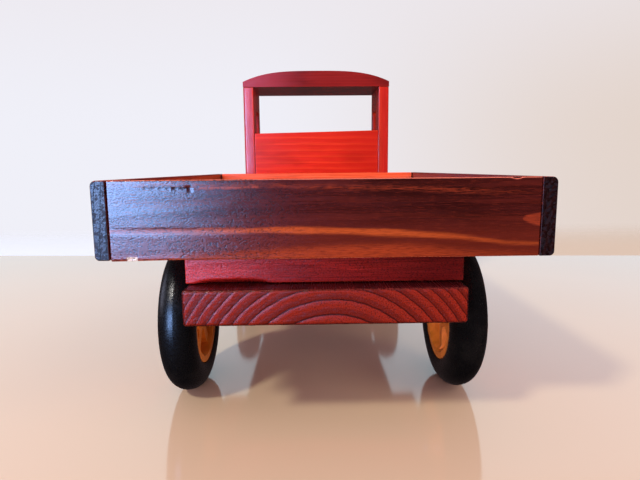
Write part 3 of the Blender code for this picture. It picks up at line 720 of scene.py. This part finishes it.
def build_chassis():
    # Painted shade: the plank's face colours are darker than its end grain, for the strip of its top that
    # lies in the tailboard's shadow.
    plank_wood = plain_wood("plank_wood", GRAIN_Y, PLANK_PITH_MM, (0.060, 0.006, 0.007), (0.12, 0.009, 0.009),
                            END_CRIMSON, ring_scale_mm=PLANK_RING_SCALE_MM, ring_power=PLANK_RING_POWER,
                            ring_offset=PLANK_RING_OFFSET, warp_mm=0.4, specks_per_mm=1.7, speck_mm=0.14,
                            wear_share=0.10, pits=0.65, gloss=0.22)
    screws = ["chassis_screw_%d" % i for i in range(1, 7)] + ["axle_block_screw_%d" % i for i in range(1, 5)]
    board("chassis_plank", plank_wood, plank_relief, 1.7, (0.7, 8.0, 0.4), screws)

    cross = bolster_material()
    board("rear_bolster", cross, bolster_relief, 0.7, (0.9, 0.8, 0.4))
    board("front_bolster", cross)

    bar = plain_wood("axle_block_wood", GRAIN_X, (80.0, 120.0), (0.34, 0.020, 0.012), (0.5, 0.03, 0.014),
                     END_RED, seed=8.0)
    for end in ("rear", "front"):
        build_axle_block(end + "_axle_block", end + "_axle", bar)

    bumper_wood = plain_wood("bumper_wood", GRAIN_X, (300.0, 140.0), RED, ORANGE_RED, END_RED, seed=5.0)
    board("front_bumper", bumper_wood, sanded(GRAIN_X, 0.12, 4.0), 1.6, (3.0, 2.0, 2.0),
          ["bumper_screw_1", "bumper_screw_2"])


def build_axle_block(node, axle, material):
    """A bar under the plank, half round below and bored for its axle."""
    low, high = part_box(node)
    rod, clearance = box_centre(axle), 0.25 * MM
    half = (high.y - low.y) / 2
    outline = [(high.y, high.z), (low.y, high.z)] + arc((rod.y, low.z + half), half, 180, 360, 25)
    bore = arc((rod.y, rod.z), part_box(axle)[1].z - rod.z + clearance, 0, 345, 24)
    sawn(node, material, [outline, bore], 0, 0.6)


# ================================================================ cab and bonnet

def build_cab():
    panel = cab_panel_material()
    build_back_panel(panel)
    for node in ("cab_front_panel", "cab_floor"):
        board(node, panel, cells_mm=(3.0, 3.0, 3.0))

    upright = plain_wood("cab_side_wood", GRAIN_Z, (150.0, 300.0), (0.46, 0.015, 0.007), (0.62, 0.040, 0.011),
                         END_RED, ring_scale_mm=4.2, fibre_depth=0.20, blotch_depth=0.25, seed=11.0,
                         roughness=0.20, wear_share=0.2, gloss=0.45)
    for node in ("cab_side_left", "cab_side_right"):
        build_cab_side(node, upright)
    build_roof(roof_material())


def cab_panel_material():
    """Bright red cross grain, with painted shade that darkens it towards the right."""
    wood = Wood("cab_panel_wood", GRAIN_X, (420.0, 390.0), (0.60, 0.018, 0.0050), (0.74, 0.044, 0.009),
                END_RED, ring_scale_mm=3.2, seed=7.0)
    colour = wood.face_colour(fibre_depth=0.16, blotch_depth=0.28)
    # Painted shade: the panel is painted darker towards the right.
    colour = wood.mix(wood.smooth(wood.xyz[0], -5, 65, 0.0, 0.55), colour, (0.36, 0.008, 0.003))
    return wood.varnished(colour, roughness=0.20, wear_share=0.2)


def roof_material():
    """Crimson cross grain, with a painted purple sheen at the left end."""
    wood = Wood("roof_wood", GRAIN_X, (60.0, 150.0), (0.21, 0.009, 0.006), (0.27, 0.012, 0.007), END_RED,
                ring_scale_mm=2.6, seed=13.0)
    colour = wood.face_colour(fibre_depth=0.16)
    # Painted sheen: the left end is painted purple, as a window's soft reflection.
    painted_sheen_place = wood.sum(wood.xyz[0], wood.swing(wood.blotch, 40.0))
    colour = wood.mix(wood.smooth(painted_sheen_place, -10, -60, 0.0, 0.7), colour, (0.34, 0.032, 0.055))
    return wood.varnished(colour, roughness=0.20, wear_share=0.15, gloss=0.45)


def build_back_panel(material):
    """The panel under the rear window; its upper edge slopes as the CAD panel's does."""
    node = "cab_back_panel"
    low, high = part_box(node)
    points = cad_points(node)
    left_top = points[points[:, 0] < low.x + 5 * MM][:, 2].max()
    outline = [(low.x, low.z), (high.x, low.z), (high.x, high.z), (low.x, left_top)]
    sawn(node, material, [outline], 1, 0.7)


def side_window_box(node):
    """The window's edges, read from the CAD wall: the inner loop of points on its outer face."""
    low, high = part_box(node)
    points = cad_points(node)[:, 1:]
    margin, bevel = 4 * MM, 0.6 * MM
    above = (points > np.array(low[1:]) + margin).all(axis=1)
    below = (points < np.array(high[1:]) - margin).all(axis=1)
    inner = points[above & below]
    return inner.min(axis=0) + bevel, inner.max(axis=0) - bevel


WINDOW_CORNER = 2.5 * MM
POST_CORNER = 2.4 * MM


def build_cab_side(node, material):
    low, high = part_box(node)
    wall = [(low.y, low.z), (high.y, low.z), (high.y, high.z), (low.y, high.z)]
    window = rounded_rectangle(*side_window_box(node), WINDOW_CORNER)
    piece = slab(node + "_wood", [wall, window], 0, low.x, high.x)
    outer = low.x if low.x < 0 else high.x
    round_corner_posts(piece, outer, (low.y, high.y))
    round_edges(piece, 0.8)
    stand_for(piece, node, material)


def round_corner_posts(piece, x, places):
    """Sand the two upright outer corners of a cab wall much rounder than its other edges."""
    solid = bmesh.new()
    solid.from_mesh(piece.data)
    near = 0.01 * MM
    corners = [edge for edge in solid.edges
               if all(abs(vert.co.x - x) < near for vert in edge.verts)
               and any(all(abs(vert.co.y - y) < near for vert in edge.verts) for y in places)]
    bmesh.ops.bevel(solid, geom=corners, offset=POST_CORNER, segments=8, profile=0.5, affect="EDGES")
    solid.to_mesh(piece.data)
    solid.free()


ROOF_END_THICKNESS = 4.6 * MM
ROOF_CURVE_POWER = 3.3


def build_roof(material):
    """An arch flatter than a circle on top, that meets the edges at their own thickness."""
    low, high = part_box("cab_roof")
    half, crown = (high.x - low.x) / 2, high.z - low.z
    outline = [(-half, low.z), (half, low.z)]
    for i in range(49):
        share = math.cos(math.pi * i / 48)
        height = crown - (crown - ROOF_END_THICKNESS) * abs(share) ** ROOF_CURVE_POWER
        outline.append((half * share, low.z + height))
    sawn("cab_roof", material, [outline], 1, 0.9, angle=30)


BONNET_SHOULDER = 16 * MM
GRILLE_SHOULDER = 18 * MM
GRILLE_SLOTS = 5
SLOT_SPACING = 10 * MM
SLOT_HALF_WIDTH = 2 * MM
SLOT_BOTTOM, SLOT_TOP = 93 * MM, 131 * MM


def arched_outline(node, radius):
    """Square below and round at both shoulders."""
    low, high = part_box(node)
    return ([(low.x, low.z), (high.x, low.z)]
            + arc((high.x - radius, high.z - radius), radius, 0, 90, 13)
            + arc((low.x + radius, high.z - radius), radius, 90, 180, 13))


def build_bonnet():
    block = plain_wood("bonnet_wood", GRAIN_Y, (20.0, 60.0), RED, ORANGE_RED, END_RED, ring_scale_mm=4.0,
                       seed=15.0)
    sawn("bonnet", block, [arched_outline("bonnet", BONNET_SHOULDER)], 1, 0.5)
    grille_wood = plain_wood("grille_wood", GRAIN_Z, (160.0, 300.0), CRIMSON_LIGHT, RED, END_RED, seed=17.0)
    outlines = [arched_outline("radiator_grille", GRILLE_SHOULDER)]
    for i in range(GRILLE_SLOTS):
        middle = (i - GRILLE_SLOTS // 2) * SLOT_SPACING
        outlines.append(rounded_rectangle((middle - SLOT_HALF_WIDTH, SLOT_BOTTOM),
                                          (middle + SLOT_HALF_WIDTH, SLOT_TOP), 0.95 * SLOT_HALF_WIDTH))
    sawn("radiator_grille", grille_wood, outlines, 1, 0.6)


# ================================================================ wheels and metal

def rubber_material():
    """Satin moulded rubber with a fine skin texture and a little dust."""
    graph = Graph("black_rubber")
    skin = graph.cells(1.3, detail=3, roughness=0.6)
    dust = graph.cells(0.08, detail=4)
    dust = graph.smooth(dust, 0.45, 0.75, 0.0, 0.5)
    colour = graph.mix(dust, (0.004, 0.0037, 0.004), (0.012, 0.010, 0.009))
    gloss = graph.smooth(skin, 0.35, 0.65, 0.24, 0.40)
    return graph.finish(colour, gloss, graph.bump(skin, 0.06), Specular_IOR_Level=0.35)


def plastic_material():
    """Moulded amber plastic with flow marks."""
    graph = Graph("amber_plastic")
    flow = graph.cells(0.12, detail=3, distortion=1.5)
    grain = graph.cells(3.0)
    colour = graph.mix(graph.smooth(flow, 0.3, 0.7), (0.66, 0.165, 0.014), (0.84, 0.235, 0.028))
    gloss = graph.smooth(grain, 0.3, 0.7, 0.30, 0.42)
    return graph.finish(colour, gloss, graph.bump(grain, 0.01), Specular_IOR_Level=0.3)


def steel_material(name, colour, roughness):
    """Metal with fine turning or drawing marks and slight tarnish."""
    graph = Graph(name)
    tarnish = graph.cells(0.4, detail=4)
    marks = graph.cells((9.0, 1.0, 1.0))
    dull = tuple(part * 0.55 for part in colour)
    shade = graph.mix(graph.smooth(tarnish, 0.42, 0.75), colour, dull)
    gloss = graph.sum(roughness, graph.smooth(tarnish, 0.35, 0.75, 0.0, 0.22))
    return graph.finish(shade, gloss, graph.bump(marks, 0.01), Metallic=1.0)


def turned_part(node, ending, profile, steps, place, material, closed=True):
    """A turned piece in place of a CAD node."""
    stand_for(turned(node + ending, profile, steps, place, closed), node, material)


def outward(side, centre):
    """Local +Z points away from the truck on that side."""
    return Matrix.Translation(centre) @ Matrix.Rotation(side * math.pi / 2, 4, "Y")


def box_centre(node):
    low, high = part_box(node)
    return (low + high) / 2


def inner_face(node, side):
    """The middle of a node's face that looks towards the truck."""
    low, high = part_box(node)
    return Vector((low.x if side > 0 else high.x, *box_centre(node)[1:]))


def axle_centre(corner):
    """The middle of a wheel, on its axle's line."""
    rod = box_centre(corner.split("_")[0] + "_axle")
    return Vector((box_centre("tyre_" + corner).x, rod.y, rod.z))


SEAT_RADIUS = 29.7 * MM
MOULD_LINE = 0.12 * MM


def build_tyre(corner, side, material):
    """A round rubber section with a raised mould line, sitting flat on its hub."""
    low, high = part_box("tyre_" + corner)
    centre = axle_centre(corner)
    outside = centre.z - low.z - MOULD_LINE
    section = (high.x - low.x) / 2
    ring = outside - section
    seat = math.acos((ring - SEAT_RADIUS) / section)
    steps = 56
    profile = []
    for i in range(steps + 1):
        angle = (math.pi - seat) * (1 - 2 * i / steps)
        across = section * math.sin(angle)
        ridge = MOULD_LINE * math.exp(-(across / (0.22 * MM)) ** 2) if abs(angle) < 1 else 0.0
        profile.append((ring + (section + ridge) * math.cos(angle), across))
    turned_part("tyre_" + corner, "_rubber", profile, 128, outward(side, centre), material)


HUB = {"rim": 25.4 * MM, "face": 5.8 * MM, "rim_half": 8.6 * MM, "web": 1.4 * MM, "boss": 8.0 * MM,
       "bore": 2.58 * MM, "spoke_half": 2.8 * MM, "pocket_in": 10.5 * MM, "pocket_out": 24.0 * MM}
SPOKES = 6


def pocket(name, matrix):
    """A cutter for one pocket between two spokes, narrower at its bottom."""
    half_pitch = 180 / SPOKES
    outline = []
    for radius, count, sign in ((HUB["pocket_out"], 9, 1), (HUB["pocket_in"], 4, -1)):
        reach = half_pitch - math.degrees(math.asin(HUB["spoke_half"] / radius))
        outline += arc((0, 0), radius, -sign * reach, sign * reach, count)
    middle = sum(x for x, _ in outline) / len(outline)
    count = len(outline)
    points = []
    for height, scale in ((HUB["web"], 0.90), (HUB["face"] + 2 * MM, 1.04)):
        points += [(middle + (x - middle) * scale, y * scale, height) for x, y in outline]
    faces = [tuple(reversed(range(count))), tuple(range(count, 2 * count))]
    faces += [(i, (i + 1) % count, count + (i + 1) % count, count + i) for i in range(count)]
    mesh = bpy.data.meshes.new(name)
    mesh.from_pydata(points, [], faces)
    mesh.transform(matrix)
    return new_object(name, mesh)


def build_hub(corner, side, turn, material):
    low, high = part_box("hub_" + corner)
    centre = axle_centre(corner)
    radius = (high.z - low.z) / 2
    outer = side * ((high.x if side > 0 else low.x) - centre.x)
    inner = side * ((low.x if side > 0 else high.x) - centre.x)
    rim, face, half, boss, bore = (HUB[key] for key in ("rim", "face", "rim_half", "boss", "bore"))
    step = half - face
    profile = [(radius, half), (radius, -half), (rim, -half), (rim - step, -face), (boss + 1 * MM, -face),
               (boss, -face - 1 * MM), (boss - 0.6 * MM, inner), (bore, inner), (bore, outer),
               (boss - 0.6 * MM, outer), (boss, face + 1 * MM), (boss + 1 * MM, face), (rim - step, face),
               (rim, half)]
    place = outward(side, centre) @ Matrix.Rotation(turn, 4, "Z")
    piece = turned("hub_%s_plastic" % corner, profile, 96, place)
    cutters = []
    for flip in (0, math.pi):
        for i in range(SPOKES):
            turned_by = Matrix.Rotation((i + 0.5) * 2 * math.pi / SPOKES, 4, "Z")
            matrix = place @ turned_by @ Matrix.Rotation(flip, 4, "X")
            cutters.append(pocket("pocket", matrix))
    cut(piece, cutters)
    round_edges(piece, 0.35, segments=2, angle=40)
    stand_for(piece, "hub_" + corner, material)


def build_axle(node, material):
    low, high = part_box(node)
    radius, half = (high.z - low.z) / 2, (high.x - low.x) / 2
    chamfer = 0.5 * MM
    profile = [(0, half), (radius - chamfer, half), (radius, half - chamfer), (radius, chamfer - half),
               (radius - chamfer, -half), (0, -half)]
    turned_part(node, "_rod", profile, 48, outward(1, box_centre(node)), material, closed=False)


def build_cap(node, side, material):
    """A domed push-on cap with a rolled rim."""
    low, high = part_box(node)
    radius, length = (high.z - low.z) / 2, high.x - low.x
    bore, depth, rim = 2.8 * MM, 3.1 * MM, 1.6 * MM
    profile = [(0, length)]
    profile += [(radius * x, rim + (length - rim) * z) for x, z in arc((0, 0), 1.0, 84, 6, 10)]
    profile += [(radius, 1.4 * MM), (radius * 0.97, 1.1 * MM), (radius, 0.8 * MM), (radius, 0.2 * MM),
                (radius - 0.2 * MM, 0), (bore, 0), (bore, depth), (0, depth)]
    turned_part(node, "_steel", profile, 48, outward(side, inner_face(node, side)), material, closed=False)


def build_washer(node, side, material):
    low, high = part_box(node)
    radius, thickness = (high.z - low.z) / 2, high.x - low.x
    bore, edge = 2.8 * MM, 0.15 * MM
    profile = [(radius - edge, thickness), (radius, thickness - edge), (radius, edge), (radius - edge, 0),
               (bore, 0), (bore, thickness)]
    turned_part(node, "_steel", profile, 48, outward(side, inner_face(node, side)), material)


SCREW_AXES = {"chassis": (0, 0, -1), "axle_block": (0, 0, 1), "tray": (0, 0, 1), "bumper": (0, 1, 0)}
SCREW_HEAD_RADIUS = 3.4 * MM
SCREW_HEAD_DEPTH = 2.2 * MM
SCREW_SHANK_RADIUS = 1.5 * MM


def screw_place(node):
    """Matrix whose +Z points out of the wood at the middle of a screw's head."""
    axis = Vector(SCREW_AXES[node.rsplit("_screw_", 1)[0]])
    low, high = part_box(node)
    half = abs((high - low).dot(axis)) / 2
    aim = axis.to_track_quat("Z", "Y").to_matrix().to_4x4()
    return Matrix.Translation(box_centre(node) + axis * half) @ aim


def countersink(piece, nodes):
    """Cut the cone that each screw head sits in."""
    gap, above, bottom = 0.3 * MM, 1 * MM, -3 * MM
    head, shank = SCREW_HEAD_RADIUS + gap, SCREW_SHANK_RADIUS + gap
    profile = [(0, above), (head, above), (head, 0), (shank, -SCREW_HEAD_DEPTH), (shank, bottom), (0, bottom)]
    cut(piece, [turned("countersink", profile, 32, screw_place(node), closed=False) for node in nodes])


def build_screw(node, material):
    """A countersunk wood screw with a cross recess in its head and a threaded shank."""
    low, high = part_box(node)
    place = screw_place(node)
    length = max(high - low)
    profile = [(0, 0), (SCREW_HEAD_RADIUS - 0.2 * MM, 0), (SCREW_HEAD_RADIUS, -0.2 * MM),
               (SCREW_SHANK_RADIUS, -SCREW_HEAD_DEPTH)]
    pitch, point = 1.2 * MM, 3 * MM
    for i in range(int((length - SCREW_HEAD_DEPTH - point) / pitch)):
        top = -SCREW_HEAD_DEPTH - i * pitch
        profile += [(SCREW_SHANK_RADIUS, top - 0.5 * MM), (SCREW_SHANK_RADIUS - 0.35 * MM, top - 1.1 * MM)]
    profile.append((0, -length))
    piece = turned(node + "_steel", profile, 24, place, closed=False)
    blade = [(0, 1 * MM), (2.6 * MM, 1 * MM), (0.6 * MM, -1 * MM), (0, -1 * MM)]
    flat = Matrix.Diagonal((1.0, 0.24, 1.0, 1.0)) @ Matrix.Rotation(math.pi / 4, 4, "Z")
    arms = []
    for turn in (0, math.pi / 2):
        matrix = place @ Matrix.Rotation(turn, 4, "Z") @ Matrix.Translation((0, 0, -0.6 * MM)) @ flat
        arms.append(turned("recess", blade, 4, matrix, closed=False))
    cut(piece, arms)
    stand_for(piece, node, material)


def build_headlight(node, material):
    """A turned button with a rounded face and a shallow ring round its lens."""
    low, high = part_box(node)
    radius, depth = (high.x - low.x) / 2, high.y - low.y
    centre = box_centre(node)
    flat, groove = 2.0 * MM, 0.35 * MM
    profile = [(0, depth)]
    for x, z in arc((0, 0), 1.0, 84, 0, 15):
        dip = groove * math.exp(-((x - 0.78) / 0.05) ** 2)
        profile.append((radius * x, flat + (depth - flat) * z - dip))
    profile += [(radius, 0.3 * MM), (radius - 0.3 * MM, 0), (0, 0)]
    place = Matrix.Translation((centre.x, low.y, centre.z)) @ Matrix.Rotation(-math.pi / 2, 4, "X")
    turned_part(node, "_button", profile, 64, place, material, closed=False)


def build_running_gear():
    rubber, plastic = rubber_material(), plastic_material()
    steel = steel_material("bright_steel", (0.62, 0.62, 0.64), 0.25)
    zinc = steel_material("zinc_plated_steel", (0.60, 0.58, 0.52), 0.34)
    for end in ("rear", "front"):
        build_axle(end + "_axle", steel)
        for side, hand in ((-1, "left"), (1, "right")):
            corner = end + "_" + hand
            build_tyre(corner, side, rubber)
            build_hub(corner, side, 0.0 if side > 0 else math.pi / SPOKES, plastic)
            build_cap("axle_cap_" + corner, side, steel)
            build_washer("washer_" + corner, side, zinc)
    for node in sorted(frame["nodes"]):
        if "_screw_" in node:
            build_screw(node, zinc)
    for hand in ("left", "right"):
        build_headlight("headlight_" + hand, plastic)


# ================================================================ stage, light and camera

TABLE_PAST_TAIL = 0.542              # from the tailboard to the table's far edge
TABLE_SKEW = 0.067                   # that edge isn't quite square to the truck
STAGE_REACH = 3.5


def build_stage():
    """A glossy table top, and beyond its far edge a matt pale ground that fades into the background; the
    ground carries painted light, glowing a little, cool on the left and warm on the right.
    """
    edge_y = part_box("tailboard")[0].y + TABLE_PAST_TAIL
    table = Graph("table_top")
    colour = table.mix(table.cells(0.004), (0.69, 0.54, 0.32), (0.74, 0.58, 0.35))
    table_material = table.finish(colour, 0.09, IOR=1.95)
    ground = Graph("pale_ground")
    plaster = ground.cells(0.3, detail=4)
    fade = ground.smooth(ground.xyz[1], edge_y / MM + 20, edge_y / MM + 420, 1.0, 0.0)
    ground.plug(ground.shader.inputs["Alpha"], fade)
    # Painted light: the ground glows a little and turns from cool on the left to warm on the right, to match
    # the background.
    to_right = ground.smooth(ground.xyz[0], -300, 420)
    pale = ground.mix(to_right, (0.66, 0.68, 0.76), (0.54, 0.42, 0.35))
    colour = ground.mix(plaster, pale, ground.mix(0.05, pale, (1.0, 1.0, 1.0)))
    painted_glow = ground.mix(to_right, (0.19, 0.32, 0.19), (0.15, 0.16, 0.01))
    ground.plug(ground.shader.inputs["Emission Color"], painted_glow)
    ground_material = ground.finish(colour, 0.8, ground.bump(plaster, 0.2), Emission_Strength=1.0)
    tops = []
    for name, near, far, material in (("table", -STAGE_REACH, edge_y, table_material),
                                      ("ground", edge_y, STAGE_REACH, ground_material)):
        mesh = bpy.data.meshes.new(name)
        corners = []
        for side, y in ((-1, near), (1, near), (1, far), (-1, far)):
            lean = STAGE_REACH * TABLE_SKEW if y == edge_y else 0.0
            corners.append((side * STAGE_REACH, y - side * lean, 0))
        mesh.from_pydata(corners, [], [(0, 1, 2, 3)])
        mesh.materials.append(material)
        top = new_object(name, mesh)
        top.visible_glossy = False
        top.visible_shadow = False
        tops.append(top)
    return tops


def area_light(name, target, azimuth, elevation, distance, size, power, colour, diffuse=True, gloss=True,
               skips=(), only=()):
    """A soft light seen from the target at an azimuth left of straight behind the truck.

    It passes over the objects in skips; if only is given it lights nothing else.
    """
    azimuth, elevation = math.radians(azimuth), math.radians(elevation)
    direction = Vector((-math.sin(azimuth) * math.cos(elevation), -math.cos(azimuth) * math.cos(elevation),
                        math.sin(elevation)))
    light = bpy.data.lights.new(name, "AREA")
    light.shape = "RECTANGLE"
    light.size, light.size_y = size
    light.energy = power
    light.color = colour
    holder = new_object(name, light)
    holder.location = target + direction * distance
    holder.rotation_euler = direction.to_track_quat("Z", "Y").to_euler()
    holder.visible_diffuse = diffuse
    holder.visible_glossy = gloss
    holder.visible_camera = False
    if skips or only:
        chosen = bpy.data.collections.new(name + "_chosen")
        for piece in skips or only:
            chosen.objects.link(piece)
        for member in chosen.collection_objects:
            member.light_linking.link_state = "INCLUDE" if only else "EXCLUDE"
        holder.light_linking.receiver_collection = chosen


class Room(Graph):
    """The world: pale walls, cool on the left and warm on the right, and a dim room behind the truck."""

    def __init__(self, world):
        self.tree = world.node_tree
        self.shader = self.tree.nodes["Background"]

    def build(self):
        x, y, z = self.coordinates("Generated")
        wall = self.mix(self.smooth(x, -0.15, 0.60), (0.87, 0.87, 0.94), (0.77, 0.66, 0.60))
        wall = self.mix(self.smooth(z, 0.05, 0.45), wall, (0.84, 0.80, 0.84))
        reflected = self.mix(self.smooth(y, 0.0, 0.8), (0.012, 0.008, 0.008), (0.07, 0.045, 0.045))
        path = self.tree.nodes.new("ShaderNodeLightPath")
        colour = self.mix(path.outputs["Is Camera Ray"], (0.70, 0.52, 0.80), wall)
        colour = self.mix(path.outputs["Is Glossy Ray"], colour, reflected)
        self.plug(self.shader.inputs["Color"], colour)


def build_lights(tops):
    target = Vector((0.0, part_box("tailboard")[0].y, 0.1))
    area_light("key_window", target, 43.5, 41.5, 2.2, (0.20, 0.20), 28.0, (1.0, 0.95, 0.90))
    area_light("soft_window", target, 24, 12, 1.4, (0.50, 0.60), 13.0, (0.92, 0.92, 1.0), gloss=False,
               skips=tops)
    area_light("warm_room", target, -50, 35, 2.6, (1.3, 1.3), 16.0, (1.0, 0.84, 0.70), gloss=False)
    area_light("low_bounce", target, -80, 4, 1.2, (0.4, 0.2), 4.5, (1.0, 0.95, 0.90), gloss=False, skips=tops)
    area_light("floor_fill", target, 0, 14, 3.0, (1.5, 1.5), 45.0, (1.0, 0.62, 0.80), gloss=False, only=tops)
    area_light("left_window", target, 100, 12, 2.5, (1.2, 1.0), 9.0, (0.72, 0.74, 1.0), diffuse=False,
               skips=tops)
    shaded = [bpy.data.objects["tyre_%s_right_rubber" % end] for end in ("rear", "front")]
    area_light("window_sheen", target, 31, 4, 3.0, (1.45, 1.25), 175.0, (0.29, 0.50, 1.0), diffuse=False,
               skips=tops + shaded)
    for number in range(4):
        area_light("room_card_%d" % number, Vector((0, 0, 1.45)), 90 * number, 0, 3.9, (7.8, 3.1), 84.0,
                   (0.64, 0.90, 1.0), diffuse=False, only=tops)
    world = bpy.data.worlds.new("room")
    world.use_nodes = True
    world.cycles.sampling_method = "NONE"
    Room(world).build()
    bpy.context.scene.world = world
    bpy.context.scene.view_settings.view_transform = "Standard"


SENSOR_WIDTH = 36.0                  # the camera's own millimetres
FOCAL_LENGTH = 27.5625


def build_camera():
    """A wide lens close behind the tailboard, just above the tray's edge and pitched down."""
    low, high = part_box("tailboard")
    eye = Vector((-6.3 * MM, low.y - 201.8 * MM, high.z + 3.9 * MM))
    right, down, roll = 0.0182, 0.144, 0.009
    camera = bpy.data.cameras.new("camera")
    camera.sensor_width = SENSOR_WIDTH
    camera.lens = FOCAL_LENGTH
    camera.clip_start = 0.01
    holder = new_object("camera", camera)
    holder.matrix_world = (Matrix.Translation(eye) @ Matrix.Rotation(-right, 4, "Z")
                           @ Matrix.Rotation(math.pi / 2 - down, 4, "X") @ Matrix.Rotation(-roll, 4, "Z"))
    bpy.context.scene.camera = holder


build_tray()
build_chassis()
build_cab()
build_bonnet()
build_running_gear()
build_lights(build_stage())
build_camera()
